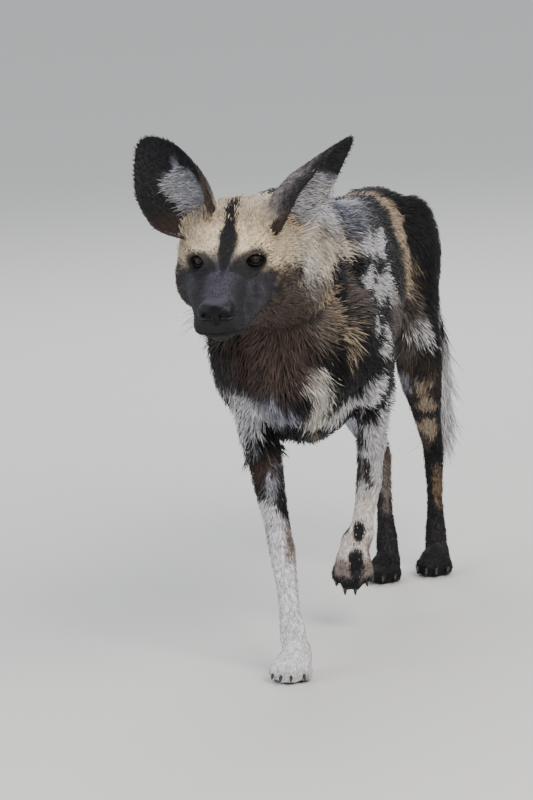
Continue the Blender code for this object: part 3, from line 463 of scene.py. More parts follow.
@dataclass
class Ear:
    """An ear: where it stands, how it opens, and the sizes of its cup.

    Attributes:
        side: -1 for the right ear, 1 for the left.
        tip: Where its tip is.
        facing: Direction towards which the cup opens.
        streak: Place across the cup of the pale streak's middle.
        comb: How far the pale hair is combed across the cup.
        tint: How fully the brow's colour covers the root of its back.
        widen: Factor on its width.
        lean: How far the cup's middle leans across.
        half_width: Half of its greatest width.
        wall: Thickness at the middle of the cup.
        columns: Columns of the sheet across the cup.
        rows: Rows of the sheet from root to tip.
    """

    side: int
    tip: tuple
    facing: tuple
    streak: float
    comb: float
    tint: float
    widen: float = 1.0
    lean: float = 0.0
    half_width: float = 0.0475
    wall: float = 0.0040
    columns: int = 33
    rows: int = 41

    def __post_init__(self) -> None:
        """Works out the ear's axes from its root and tip."""
        root = HEAD @ Vector((self.side * 0.047, 0.076, 0.043))
        tip, facing = Vector(self.tip), Vector(self.facing)
        up = (tip - root).normalized()
        base = root - up * 0.030
        self.length = (tip - base).length - 0.004
        ahead = (facing - up * facing.dot(up)).normalized()
        self.base, self.up = np.array(base), np.array(up)
        self.ahead, self.across = np.array(ahead), np.array(up.cross(ahead))

    def build(self) -> bpy.types.Object:
        """Makes the cup as a closed sheet of two faces.

        Returns:
            The ear's skin, which is joined to the rest of the skin.
        """
        # Share of the length, share of the greatest width there, and how far round the cup wraps
        table = np.array(((0.00, 0.42, 128), (0.10, 0.60, 118), (0.20, 0.80, 106), (0.32, 0.95, 92),
                          (0.45, 1.00, 80), (0.58, 0.97, 70), (0.70, 0.87, 58), (0.80, 0.71, 47),
                          (0.88, 0.53, 38), (0.94, 0.38, 30), (0.98, 0.22, 24), (1.00, 0.04, 20)))
        shares = 1 - (1 - np.linspace(0, 1, self.rows)) ** 1.25
        width = np.interp(shares, table[:, 0], table[:, 1])
        wrap = np.radians(np.interp(shares, table[:, 0], table[:, 2]))
        for _ in range(2):
            width[1:-1] = (width[:-2] + 2 * width[1:-1] + width[2:]) / 4
            wrap[1:-1] = (wrap[:-2] + 2 * wrap[1:-1] + wrap[2:]) / 4
        k = np.linspace(-1, 1, self.columns)[None, :]
        s = shares[:, None]
        radius = width * self.half_width * self.widen / np.sin(np.minimum(wrap, math.pi / 2))
        radius = radius[:, None]
        angle = k * wrap[:, None]
        ripple = 0.0011 * np.sin(k * 9.0) * np.sin(s * math.pi) ** 2
        wall = self.wall * (1.0 - 0.55 * np.abs(k) ** 3) * (1 - 0.40 * s)
        forward = 0.016 * (1 - s) ** 2 - 0.010 * s**2
        trough = np.where(s < 0.45, -0.38 * radius, -0.0186 * (1 - s) / 0.55)
        layers = []
        for reach in (radius + ripple, radius + wall):
            layers.append(self.base + s[..., None] * self.length * self.up
                          + (np.sin(angle) * reach + self.lean * np.sin(s * math.pi))[..., None] * self.across
                          + (forward + radius - np.cos(angle) * reach + trough)[..., None] * self.ahead)
        rows, columns = self.rows, self.columns
        count = rows * columns
        faces = []
        for i in range(rows - 1):
            first, last = i * columns, (i + 1) * columns - 1
            for a in range(first, last):
                b, c, d = a + 1, a + columns + 1, a + columns
                faces += [(a, b, c, d), (a + count, d + count, c + count, b + count)]
            faces.append((first, last + 1, last + 1 + count, first + count))
            faces.append((last, last + count, last + columns + count, last + columns))
        for a in range(columns - 1):
            b = a + (rows - 1) * columns
            faces += [(a, a + count, a + 1 + count, a + 1), (b, b + 1, b + 1 + count, b + count)]
        points = np.vstack([layer.reshape(-1, 3) for layer in layers])
        return outward_mesh("ear_sheet", points, faces)

    def places(self, spots: Spots) -> tuple:
        """Where places lie on the ear.

        Args:
            spots: Places on the animal.

        Returns:
            Share from root to tip, place across from -1 to 1, and True inside the cup.
        """
        off = spots.points - self.base
        inside = spots.normals @ self.ahead > 0
        return off @ self.up / self.length, off @ self.across / self.half_width, inside

    def shade(self, spots: Spots) -> np.ndarray:
        """Black back and rim, and a pale streak of long hair on the inner side of the cup.

        Args:
            spots: Places on the ear.

        Returns:
            Their colours.
        """
        share, across, inside = self.places(spots)
        points = spots.points
        ragged = EDGE(points)
        made = np.tile(linear(Shade.INK.value), (len(points), 1))
        back = smooth(0.80, 0.45, share + 0.08 * ragged) * smooth(1.02, 0.72, np.abs(across)) * ~inside
        made = blend(made, Shade.TAUPE, back * (0.55 + 0.30 * EDGE(points * 2.5)).clip(0, 1))
        made = blend(made, Shade.FROST, back * (0.10 + 0.26 * EDGE(points * 4.0)).clip(0, 1))
        root = smooth(0.26, 0.16, share + 0.04 * ragged) * smooth(0.95, 0.55, np.abs(across))
        made = blend(made, Shade.BROW, root * self.tint * ~inside)
        pale = smooth(0.50, 0.16, np.abs(across - self.streak) + 0.10 * ragged)
        pale *= smooth(0.20, 0.32, share) * smooth(0.70, 0.46, share + 0.08 * ragged) * inside
        made = blend(made, Shade.FROST, pale * 0.85)
        made = blend(made, Shade.UMBER, smooth(0.50, 0.24, share) * inside * 0.75 * (1 - pale))
        middle = smooth(0.55, 0.30, np.abs(across))
        return blend(made, Shade.BROW, smooth(0.20, 0.10, share + 0.03 * ragged) * inside * middle * 0.75)


EARS = {
    "ear_right": Ear(-1, (-0.162, -0.318, 0.784), (-0.14, -0.99, 0.06), 0.06, -0.9, 0.3, 1.06, -0.004),
    "ear_left": Ear(1, (0.148, -0.318, 0.773), (0.985, -0.06, 0.0), 0.60, 0.7, 0.8),
}


def coat_shade(spots: Spots, seed: int) -> np.ndarray:
    """Colour of the coat at each place, in linear RGB.

    Args:
        spots: Places on the animal.
        seed: Seed of the speckle.

    Returns:
        One colour for each place.
    """
    points = spots.points
    colour = np.tile(linear(Shade.INK.value), (len(points), 1))
    colour = blend(colour, Shade.SOOT, smooth(-0.4, 1.0, DRIFT(points * 1.3)) * 0.8)
    for patch in PATCHES:
        colour = blend(colour, patch.shade, patch.weight(spots))
    z = points[:, 2] + 0.010 * EDGE(points)
    tail = spots.at("tail")
    colour = blend(colour, Shade.SAND, smooth(0.500, 0.520, z) * tail)
    colour = blend(colour, Shade.SNOW, smooth(0.392, 0.365, z) * tail)
    colour = face_shade(spots, colour)
    for name, ear in EARS.items():
        pick = spots.at(name)
        colour[pick] = ear.shade(Spots(points[pick], spots.normals[pick], spots.region[pick]))
    colour = blend(colour, Shade.PAD, spots.at("paw") * smooth(-0.55, -0.80, spots.normals[:, 2]))
    # White hairs that fleck the saddle
    rng = np.random.default_rng(seed)
    saddle = smooth(0.575, 0.605, points[:, 2])
    saddle = saddle * smooth(0.35, 0.25, points[:, 1]) * smooth(-0.06, 0.0, points[:, 1])
    fleck = rng.random(len(points)) ** 1.9 * (0.75 + 0.4 * DRIFT(points * 1.7)).clip(0.1, 1)
    colour = blend(colour, Shade.FROST, fleck * saddle * spots.at("torso"))
    return colour * rng.uniform(0.72, 1.25, (len(points), 1))


def along_surface(way: np.ndarray, normals: np.ndarray) -> np.ndarray:
    """Directions laid flat on the surface and scaled to length one."""
    return unit(way - normals * (way * normals).sum(axis=1, keepdims=True))


def lie_of_coat(spots: Spots) -> np.ndarray:
    """Direction in which the hair lies at each place, along the surface.

    Args:
        spots: Places on the animal.

    Returns:
        One unit direction for each place.
    """
    x, y, z = spots.points.T
    one = np.ones_like(x)
    way = np.stack([0.25 * np.sign(x + 0.01), one, -0.45 * one], axis=1)
    low = smooth(0.52, 0.42, z) * smooth(0.02, -0.10, y)
    way = way + low[:, None] * np.array((0.0, -0.45, -1.1))
    way = way + smooth(0.34, 0.42, y)[:, None] * np.array((0.0, -0.35, -0.8))
    neck, head, tail = spots.at("neck"), spots.at("head"), spots.at("tail")
    drop = -0.75 - 3.0 * np.clip(0.60 - z, 0, 0.12)
    way[neck] = np.stack([0.35 * np.sign(x + 0.014), 0.9 * one, drop], axis=1)[neck]
    across, back, up = spots.local.T
    rise = np.where(back > 0.02, np.clip(up * 10.0, -0.9, 0.3), 0.30 + up * 9.0)
    face = np.stack([across * 9.0, 0.9 * one, rise], axis=1)
    way[head] = (unit(face) @ np.array(HEAD.to_3x3()).T)[head]
    way[spots.at("leg")] = np.array((0.0, 0.16, -1.0))
    way[spots.at("paw")] = np.array((0.0, -0.85, -0.55))
    way[tail] = np.array((0.10, -0.04, -1.0))
    for name, ear in EARS.items():
        pick = spots.at(name)
        across = ear.places(spots)[1][pick]
        way[pick] = ear.up + across[:, None] * 0.55 * ear.across
    swirl = (DRIFT(spots.points * 0.9) * 0.30 + EDGE(spots.points) * 0.12) * np.where(tail, 0.25, 1.0)
    flat = along_surface(unit(way), spots.normals)
    return unit(flat + np.cross(flat, spots.normals) * swirl[:, None])


def alone(obj: bpy.types.Object) -> None:
    """Selects one object and makes it active."""
    bpy.ops.object.select_all(action="DESELECT")
    obj.select_set(True)
    bpy.context.view_layer.objects.active = obj


def applied(obj: bpy.types.Object, kind: str, **settings: object) -> None:
    """Adds a modifier with its settings and applies it.

    Args:
        obj: The object that is changed.
        kind: The modifier's type.
        **settings: Its settings.
    """
    alone(obj)
    modifier = obj.modifiers.new(kind.lower(), kind)
    for name, value in settings.items():
        setattr(modifier, name, value)
    bpy.ops.object.modifier_apply(modifier=modifier.name)


def joined(name: str, pieces: list) -> bpy.types.Object:
    """Joins objects into the first of them.

    Args:
        name: The name of the result.
        pieces: The objects, which become one.

    Returns:
        The joined object.
    """
    bpy.ops.object.select_all(action="DESELECT")
    for piece in pieces:
        piece.select_set(True)
    bpy.context.view_layer.objects.active = pieces[0]
    if len(pieces) > 1:
        bpy.ops.object.join()
    pieces[0].name = pieces[0].data.name = name
    return pieces[0]


def outward_mesh(name: str, points: np.ndarray, faces: list) -> bpy.types.Object:
    """Makes an object of a closed mesh and turns its faces outward.

    Args:
        name: The name of the result.
        points: Places of its vertices.
        faces: Vertex numbers of each face.

    Returns:
        The object.
    """
    mesh = bpy.data.meshes.new(name)
    mesh.from_pydata(points.tolist(), [], faces)
    made = bpy.data.objects.new(name, mesh)
    bpy.context.collection.objects.link(made)
    alone(made)
    bpy.ops.object.mode_set(mode="EDIT")
    bpy.ops.mesh.select_all(action="SELECT")
    bpy.ops.mesh.normals_make_consistent(inside=False)
    bpy.ops.object.mode_set(mode="OBJECT")
    return made


def bands(rings: int, sides: int, closed: bool = False) -> list:
    """Faces between rings of points.

    Args:
        rings: How many rings there are.
        sides: Points on each ring.
        closed: True where the last ring joins the first.

    Returns:
        Vertex numbers of each face.
    """
    faces = []
    for i in range(rings if closed else rings - 1):
        a, b = i * sides, (i + 1) % rings * sides
        faces += [(a + k, a + (k + 1) % sides, b + (k + 1) % sides, b + k) for k in range(sides)]
    return faces


def tube(name: str, rows: list, sides: int = 32, frame: Matrix | None = None) -> bpy.types.Object:
    """A closed tube through rings of different sizes.

    Args:
        name: The name of the result.
        rows: For each ring its centre, half width across x, and half depth above and below.
        sides: Points on each ring.
        frame: Matrix that places it.

    Returns:
        The tube.
    """
    given = np.array([[*row[0], *row[1:]] for row in rows], float)
    padded = np.vstack([2 * given[0] - given[1], given, 2 * given[-1] - given[-2]])
    fine = []
    for i in range(len(given) - 1):
        a, b, c, d = padded[i:i + 4]
        fine += [0.5 * (2 * b + (c - a) * t + (2 * a - 5 * b + 4 * c - d) * t**2
                        + (3 * b - a - 3 * c + d) * t**3) for t in np.arange(4) / 4]
    fine = np.array(fine + [given[-1]])
    along = unit(np.gradient(fine[:, :3], axis=0))
    side = unit(np.array((1.0, 0, 0)) - along * along[:, :1])
    third = np.cross(side, along)
    angle = np.linspace(0, 2 * math.pi, sides, endpoint=False)
    depth = np.where(np.sin(angle)[None] > 0, fine[:, 4:5], fine[:, 5:6])
    points = (fine[:, None, :3] + (np.cos(angle) * fine[:, 3:4])[..., None] * side[:, None]
              + (np.sin(angle)[None] * depth)[..., None] * third[:, None]).reshape(-1, 3)
    if frame is not None:
        points = carried(frame, points)
    last = (len(fine) - 1) * sides
    caps = [tuple(range(sides)), tuple(range(last, last + sides))]
    return outward_mesh(name, points, caps + bands(len(fine), sides))


def vertex_rows(values: bpy.types.bpy_prop_collection, key: str) -> np.ndarray:
    """Three numbers for each vertex of a mesh, such as its place."""
    flat = np.empty(len(values) * 3, np.float32)
    values.foreach_get(key, flat)
    return flat.reshape(-1, 3).astype(float)


def coordinates(mesh: bpy.types.Mesh) -> np.ndarray:
    """Places of a mesh's vertices."""
    return vertex_rows(mesh.vertices, "co")


def vertex_normals(mesh: bpy.types.Mesh) -> np.ndarray:
    """Outward directions at a mesh's vertices."""
    return vertex_rows(mesh.vertex_normals, "vector")


def edge_ends(mesh: bpy.types.Mesh) -> np.ndarray:
    """Two vertex numbers for each edge of a mesh."""
    return np.array([tuple(edge.vertices) for edge in mesh.edges])


def place_vertices(mesh: bpy.types.Mesh, points: np.ndarray) -> None:
    """Moves a mesh's vertices."""
    mesh.vertices.foreach_set("co", points.astype(np.float32).ravel())
    mesh.update()


def relax(points: np.ndarray, edges: np.ndarray, weight: np.ndarray, rounds: int) -> np.ndarray:
    """Smooths values over a mesh, such as its vertices' places.

    Args:
        points: One row for each vertex.
        edges: Two vertex numbers for each edge.
        weight: How far each vertex moves in a round, from 0 to 1.
        rounds: How many times it is done.

    Returns:
        The smoothed rows.
    """
    count = len(points)
    ends = np.concatenate([edges[:, 0], edges[:, 1]])
    others = np.concatenate([edges[:, 1], edges[:, 0]])
    degree = np.maximum(np.bincount(ends, minlength=count), 1)[:, None]
    for _ in range(rounds):
        total = np.stack([np.bincount(ends, column[others], count) for column in points.T], axis=1)
        points = points + (total / degree - points) * weight[:, None]
    return points


@dataclass
class Skin:
    """One skin over the whole animal, which lies inside the solids by the depth of the coat.

    Attributes:
        voxel: How finely the joined solids are cut up.
        share: Share of the triangles that is kept.
        depths: Depth of the coat on the head, paws, legs and trunk.
        tail_depth: Depth of the coat on the tail.
        face_depth: Depth of the coat on the face.
        obj: The skin's object, once it is built.
    """

    voxel: float = 0.0026
    share: float = 0.33
    depths: tuple = (0.0016, 0.0010, 0.0020, 0.0060)
    tail_depth: float = 0.0020
    face_depth: float = 0.0008
    obj: bpy.types.Object | None = None

    def build(self, nodes: dict) -> bpy.types.Object:
        """Joins the solids of flesh, smooths them, and forms the face.

        Args:
            nodes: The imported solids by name.

        Returns:
            The skin.
        """
        self.trace_regions(nodes)
        parts = []
        for name in FLESH:
            copy = bpy.data.objects.new("flesh", nodes[name].data.copy())
            bpy.context.collection.objects.link(copy)
            copy.data.transform(Matrix.Translation(-HOME))
            parts.append(copy)
        parts.append(tube("neck_core", [
            ((-0.008, 0.100, 0.548), 0.060, 0.082, 0.090), ((-0.008, 0.000, 0.552), 0.084, 0.088, 0.115),
            ((-0.010, -0.080, 0.560), 0.086, 0.082, 0.120), ((-0.013, -0.160, 0.574), 0.082, 0.078, 0.112),
            ((-0.016, -0.230, 0.592), 0.078, 0.073, 0.098), ((-0.018, -0.290, 0.608), 0.076, 0.071, 0.084),
            ((-0.019, -0.340, 0.618), 0.068, 0.064, 0.070)]))
        parts.append(tube("brush_core", [
            ((0.010, 0.578, 0.520), 0.0185, 0.018, 0.019), ((0.024, 0.600, 0.468), 0.0165, 0.0165, 0.0165),
            ((0.038, 0.612, 0.410), 0.0150, 0.0155, 0.0155), ((0.049, 0.618, 0.350), 0.0150, 0.0160, 0.0160),
            ((0.055, 0.622, 0.290), 0.0130, 0.0140, 0.0140), ((0.057, 0.624, 0.235), 0.0100, 0.0100, 0.0100),
            ((0.056, 0.624, 0.205), 0.0055, 0.0055, 0.0055)]))
        skin = joined("skin", parts)
        applied(skin, "REMESH", mode="VOXEL", voxel_size=self.voxel)
        self.settle(skin.data)
        applied(skin, "DECIMATE", ratio=self.share)
        self.cut_face(skin)
        self.press_face(skin.data)
        skin = joined("skin", [skin] + [ear.build() for ear in EARS.values()])
        applied(skin, "TRIANGULATE")
        self.unwrap(skin)
        spots = self.spots(skin.data)
        self.regions = spots.region
        set_colour(skin.data, coat_shade(spots, 21))
        skin.data.shade_smooth()
        self.obj = skin
        return skin

    def trace_regions(self, nodes: dict) -> None:
        """Makes the search tree that tells which solid a place belongs to.

        Args:
            nodes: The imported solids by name.
        """
        points, faces, self.face_region = [], [], []
        for number, name in enumerate(REGIONS):
            mesh = nodes[name].data
            start = len(points)
            points += [v.co - HOME for v in mesh.vertices]
            faces += [tuple(start + k for k in p.vertices) for p in mesh.polygons]
            self.face_region += [number] * len(mesh.polygons)
        self.tree = BVHTree.FromPolygons(points, faces)

    def region_of(self, points: np.ndarray) -> np.ndarray:
        """Number of the region nearest to each point."""
        return np.array([self.face_region[self.tree.find_nearest(p)[2]] for p in points])

    def spots(self, mesh: bpy.types.Mesh) -> Spots:
        """Places, outward directions and regions of a mesh's vertices."""
        points = coordinates(mesh)
        return Spots(points, vertex_normals(mesh), self.region_of(points))

    def settle(self, mesh: bpy.types.Mesh) -> None:
        """Rounds off the facets and draws the skin in by the depth of the coat."""
        spots, edges = self.spots(mesh), edge_ends(mesh)
        count = len(spots.points)
        order = {"head": 0, "paw": 1, "leg": 2}
        kind = np.array([order.get(name.split("_")[0], 3) for name in REGIONS])[spots.region]
        face = (kind == 0) & (spots.local[:, 1] < 0.035)
        weight = np.array((0.55, 0.30, 0.50, 0.60))[kind]
        weight[face] = 0.22
        weight = relax(weight[:, None], edges, np.full(count, 0.6), 8)[:, 0]
        points = relax(spots.points, edges, weight, 14)
        place_vertices(mesh, points)
        depth = np.array(self.depths)[kind]
        depth[spots.at("tail")] = self.tail_depth
        depth[face] = self.face_depth
        depth = relax(depth[:, None], edges, np.full(count, 0.7), 24)
        place_vertices(mesh, points - vertex_normals(mesh) * depth)
        place_vertices(mesh, relax(coordinates(mesh), edges, weight * 0.6, 3))

    def cut_face(self, skin: bpy.types.Object) -> None:
        """Cuts the triangles of the face in four and smooths them a little."""
        alone(skin)
        mesh = skin.data
        x, y, z = carried(HEAD.inverted(), coordinates(mesh)).T
        near = (y < 0.030) & (y > -0.16) & (np.abs(x) < 0.075) & (np.abs(z) < 0.11)
        flags = np.array([all(near[v] for v in polygon.vertices) for polygon in mesh.polygons])
        mesh.vertices.foreach_set("select", np.zeros(len(mesh.vertices), bool))
        mesh.edges.foreach_set("select", np.zeros(len(mesh.edges), bool))
        mesh.polygons.foreach_set("select", flags)
        bpy.ops.object.mode_set(mode="EDIT")
        bpy.ops.mesh.select_mode(type="FACE")
        bpy.ops.object.mode_set(mode="OBJECT")
        mesh.polygons.foreach_set("select", flags)
        bpy.ops.object.mode_set(mode="EDIT")
        bpy.ops.mesh.subdivide(number_cuts=1)
        bpy.ops.mesh.quads_convert_to_tris()
        bpy.ops.object.mode_set(mode="OBJECT")
        points = coordinates(mesh)
        x, y, _ = carried(HEAD.inverted(), points).T
        near = (y < 0.026) & (np.abs(x) < 0.072)
        place_vertices(mesh, relax(points, edge_ends(mesh), 0.5 * near, 3))

    def press_face(self, mesh: bpy.types.Mesh) -> None:
        """Presses in the mouth line, the furrow of the brow, the folds and the eyes' openings."""
        local = carried(HEAD.inverted(), coordinates(mesh))
        outward = vertex_normals(mesh) @ np.array(HEAD.to_3x3())
        x, y, z = local.T
        # How far each point moves out of the skin: a groove 2.4 mm wide at the mouth, with a lip over it
        lips = smooth(0.004, -0.010, y)
        rise = 0.0008 * np.exp(-((z - mouth_height(y) - 0.004) / 0.0026) ** 2) * lips
        rise -= 0.0022 * np.exp(-((z - mouth_height(y)) / 0.0014) ** 2) * lips
        rise -= 0.0014 * np.exp(-(x / 0.006) ** 2) * np.exp(-((z - 0.008) / 0.016) ** 2) * (y < 0.05)
        shift = np.zeros_like(local)
        for side, _ in SIDES:
            fold = np.exp(-((x * side - 0.026 + 0.5 * (z + 0.010)) / 0.0030) ** 2)
            rise -= 0.0012 * fold * smooth(-0.034, -0.020, z) * smooth(-0.002, -0.010, z) * (y < 0.02)
            off = local - np.array(eye_place(side))
            ahead = np.array(eye_axes(side) @ Vector((0, -1, 0)))
            forward = off @ ahead
            turned = off @ np.array(eye_axes(side))
            oval = np.hypot(turned[:, 0] / 0.0140, turned[:, 2] / 0.0098)
            socket = smooth(1.12, 0.80, oval) * (forward > -0.002)
            shift -= ahead * (socket * np.maximum(forward - 0.004, 0.0) * 0.92)[:, None]
            around = np.linalg.norm(off - forward[:, None] * ahead, axis=1)
            rise += 0.0007 * np.exp(-((around - 0.019) / 0.0030) ** 2) * (off[:, 2] < 0) * (forward > 0)
        place_vertices(mesh, carried(HEAD, local + shift + outward * rise[:, None]))

    def unwrap(self, skin: bpy.types.Object) -> None:
        """Lays the skin out flat for its colour map."""
        mesh = skin.data
        while mesh.uv_layers:
            mesh.uv_layers.remove(mesh.uv_layers[0])
        mesh.uv_layers.new(name="OFBake")
        alone(skin)
        bpy.ops.object.mode_set(mode="EDIT")
        bpy.ops.mesh.select_all(action="SELECT")
        bpy.ops.uv.smart_project(angle_limit=math.radians(66), island_margin=0.0015)
        bpy.ops.object.mode_set(mode="OBJECT")


def set_colour(mesh: bpy.types.Mesh, shades: np.ndarray) -> None:
    """Stores one linear colour for each vertex, in the attribute that the finishes read."""
    layer = mesh.color_attributes.new("marking", "FLOAT_COLOR", "POINT")
    rows = np.ones((len(mesh.vertices), 4), np.float32)
    rows[:, :3] = np.clip(shades, 0, 1)
    layer.data.foreach_set("color", rows.ravel())


def eye_axes(side: int) -> Matrix:
    """Turn of an eye in the head's frame: it looks along -y, forward and a little out."""
    return (Matrix.Rotation(math.radians(side * 24), 3, "Z") @ Matrix.Rotation(math.radians(side * 8), 3, "Y")
            @ Matrix.Rotation(math.radians(-6), 3, "X"))


@dataclass(frozen=True)
class HairKind:
    """Sizes of the tufts in a region, in metres, and how many stand on a square centimetre.

    Attributes:
        length: Length of a tuft.
        width: Width of a tuft at its widest.
        lift: How far it rises, as a share of its length.
        dense: Tufts to the square centimetre.
    """

    length: float
    width: float
    lift: float
    dense: float


HAIR = {
    "head": HairKind(0.0085, 0.0011, 0.22, 20),
    "neck": HairKind(0.0230, 0.0015, 0.25, 13),
    "torso": HairKind(0.0215, 0.0015, 0.21, 10.4),
    "leg": HairKind(0.0100, 0.0013, 0.18, 13),
    "paw": HairKind(0.0062, 0.0011, 0.16, 16),
    "ear": HairKind(0.0060, 0.0010, 0.16, 14),
    "tail": HairKind(0.0200, 0.0015, 0.24, 12),
}
# Rings before the tip of a tuft: share of its length, and share of its width there
SHORT_RINGS = ((0.0, 0.80), (0.52, 1.0))
LONG_RINGS = ((0.0, 0.75), (0.34, 1.0), (0.70, 0.72))
# Size of a tuft's place in the colour map, and the lowest that hair hangs over the floor
MAP_PATCH = 0.003
LOWEST = 0.0004


@dataclass
class Tufts(Spots):
    """Tufts of hair, rooted in places on the skin: each array has one row for each tuft.

    Attributes:
        uv: Its root's place in the colour map.
        way: Direction in which it lies.
        length: Its length.
        width: Its width.
        lift: How far it rises, as a share of its length.
        bend: How far it bends aside, as a share of its length.
        colour: Its linear colour.
    """

    uv: np.ndarray
    way: np.ndarray | None = None
    length: np.ndarray | None = None
    width: np.ndarray | None = None
    lift: np.ndarray | None = None
    bend: np.ndarray | None = None
    colour: np.ndarray | None = None

    def picked(self, pick: np.ndarray) -> "Tufts":
        """The tufts that a test or a list of numbers picks."""
        rows = [getattr(self, item.name) for item in fields(self)]
        return Tufts(*[row if row is None else row[pick] for row in rows])

    def middles(self, share: float) -> np.ndarray:
        """Middle of every tuft at a share of its length."""
        rise = self.length * self.lift * math.sin(share * 2.1) - 0.0009 * (1 - share)
        return (self.points + self.way * (self.length * share)[:, None] + self.normals * rise[:, None]
                + np.cross(self.way, self.normals) * (self.length * self.bend * share**2)[:, None])

    def coloured(self, stray: np.ndarray, seed: int) -> np.ndarray:
        """Colours of the coat a little off the roots, which frays the markings.

        Args:
            stray: How far off each tuft takes its colour.
            seed: Seed of the speckle.

        Returns:
            One colour for each tuft.
        """
        return coat_shade(Spots(self.points + stray, self.normals, self.region), seed)

    def build(self, name: str, rings: tuple) -> bpy.types.Object:
        """Makes one mesh of closed, tapered, bent wedges.

        Args:
            name: Name of the piece.
            rings: Rings before the tip.

        Returns:
            The piece.
        """
        side = np.cross(self.way, self.normals)
        size = len(rings) * 3 + 1
        count = len(self.points)
        verts, flat, shades = (np.empty((count, size, width)) for width in (3, 2, 3))
        for k, (share, wide) in enumerate(rings):
            middle, half = self.middles(share), (self.width * wide / 2)[:, None]
            verts[:, 3 * k] = middle + side * half
            verts[:, 3 * k + 1] = middle + self.normals * half * 0.75
            verts[:, 3 * k + 2] = middle - side * half
            for j, offset in enumerate((1.0, 0.0, -1.0)):
                flat[:, 3 * k + j] = self.uv + np.array((offset * 0.5, share - 0.5)) * MAP_PATCH
            # Painted shade: each tuft darkens towards its root, where the tufts shade one another, and is
            # lightest at its tip.
            shades[:, 3 * k:3 * k + 3] = (self.colour * (0.62 + 0.42 * share))[:, None]
        verts[:, -1] = self.middles(1.0)
        verts[..., 2] = np.maximum(verts[..., 2], LOWEST - HOME.z)
        flat[:, -1] = self.uv + np.array((0.0, 0.5)) * MAP_PATCH
        shades[:, -1] = self.colour * 1.12
        last = 3 * (len(rings) - 1)
        faces = [(0, 1, 2)]
        for a in range(last):
            b = a // 3 * 3 + (a + 1) % 3
            faces += [(a, a + 3, b), (b, a + 3, b + 3)]
        faces = np.array(faces + [(last + j, size - 1, last + (j + 1) % 3) for j in range(3)])
        one = verts[0][faces]
        if np.einsum("ij,ij->i", one[:, 0], np.cross(one[:, 1], one[:, 2])).sum() < 0:
            faces = faces[:, ::-1]
        every = (faces[None] + (np.arange(count) * size)[:, None, None]).reshape(-1)
        mesh = bpy.data.meshes.new(name)
        mesh.vertices.add(count * size)
        mesh.vertices.foreach_set("co", verts.astype(np.float32).ravel())
        mesh.loops.add(len(every))
        mesh.loops.foreach_set("vertex_index", every.astype(np.int32))
        mesh.polygons.add(len(every) // 3)
        mesh.polygons.foreach_set("loop_start", np.arange(0, len(every), 3, dtype=np.int32))
        mesh.update(calc_edges=True)
        layer = mesh.uv_layers.new(name="OFBake")
        layer.data.foreach_set("uv", np.clip(flat.reshape(-1, 2)[every], 0, 1).astype(np.float32).ravel())
        set_colour(mesh, shades.reshape(-1, 3))
        mesh.shade_smooth()
        made = bpy.data.objects.new(name, mesh)
        bpy.context.collection.objects.link(made)
        log.info("%s: %d tufts, %d triangles", name, count, len(every) // 3)
        return made


def on_ruff(tufts: Tufts) -> np.ndarray:
    """Where the ruff grows: the throat, the sides of the neck, and the front of the chest."""
    _, y, z = tufts.points.T
    _, back, up = tufts.local.T
    return (tufts.at("neck") & (z < 0.635) | tufts.at("head") & (back > 0.085) & (up < 0.005)
            | tufts.at("torso") & (y < -0.095) & (z < 0.56))


def on_brush(tufts: Tufts) -> np.ndarray:
    """Where the brush grows: all round the lower two thirds of the tail."""
    return tufts.points[:, 2] < 0.445


def on_ear_cups(tufts: Tufts) -> np.ndarray:
    """Where the pale hair grows inside each cup."""
    keep = np.zeros(len(tufts.points), bool)
    for name, ear in EARS.items():
        share, across, inside = ear.places(tufts)
        streak = (np.abs(across - ear.streak) < 0.44) & (share > 0.20) & (share < 0.60)
        keep |= streak & inside & tufts.at(name)
    return keep


@dataclass(frozen=True)
class LongHair:
    """A piece of long hair.

    Attributes:
        name: Name of the piece.
        names: Beginnings of the names of the regions that it grows in.
        kind: Sizes of its tufts.
        bend: How far they bend aside, as a share of their length.
        seed: Seed of the draw.
        grows: Test that tells where it grows.
    """

    name: str
    names: tuple
    kind: HairKind
    bend: float
    seed: int
    grows: Callable[[Tufts], np.ndarray]


LONG_HAIR = (
    LongHair("hair_ruff", ("neck", "torso", "head"), HairKind(0.034, 0.0014, 0.22, 8.5), 0.12, 31, on_ruff),
    LongHair("hair_brush", ("tail_brush",), HairKind(0.074, 0.0018, 0.070, 40.0), 0.05, 32, on_brush),
    LongHair("hair_ears", ("ear",), HairKind(0.017, 0.0011, 0.34, 22.0), 0.12, 33, on_ear_cups),
)


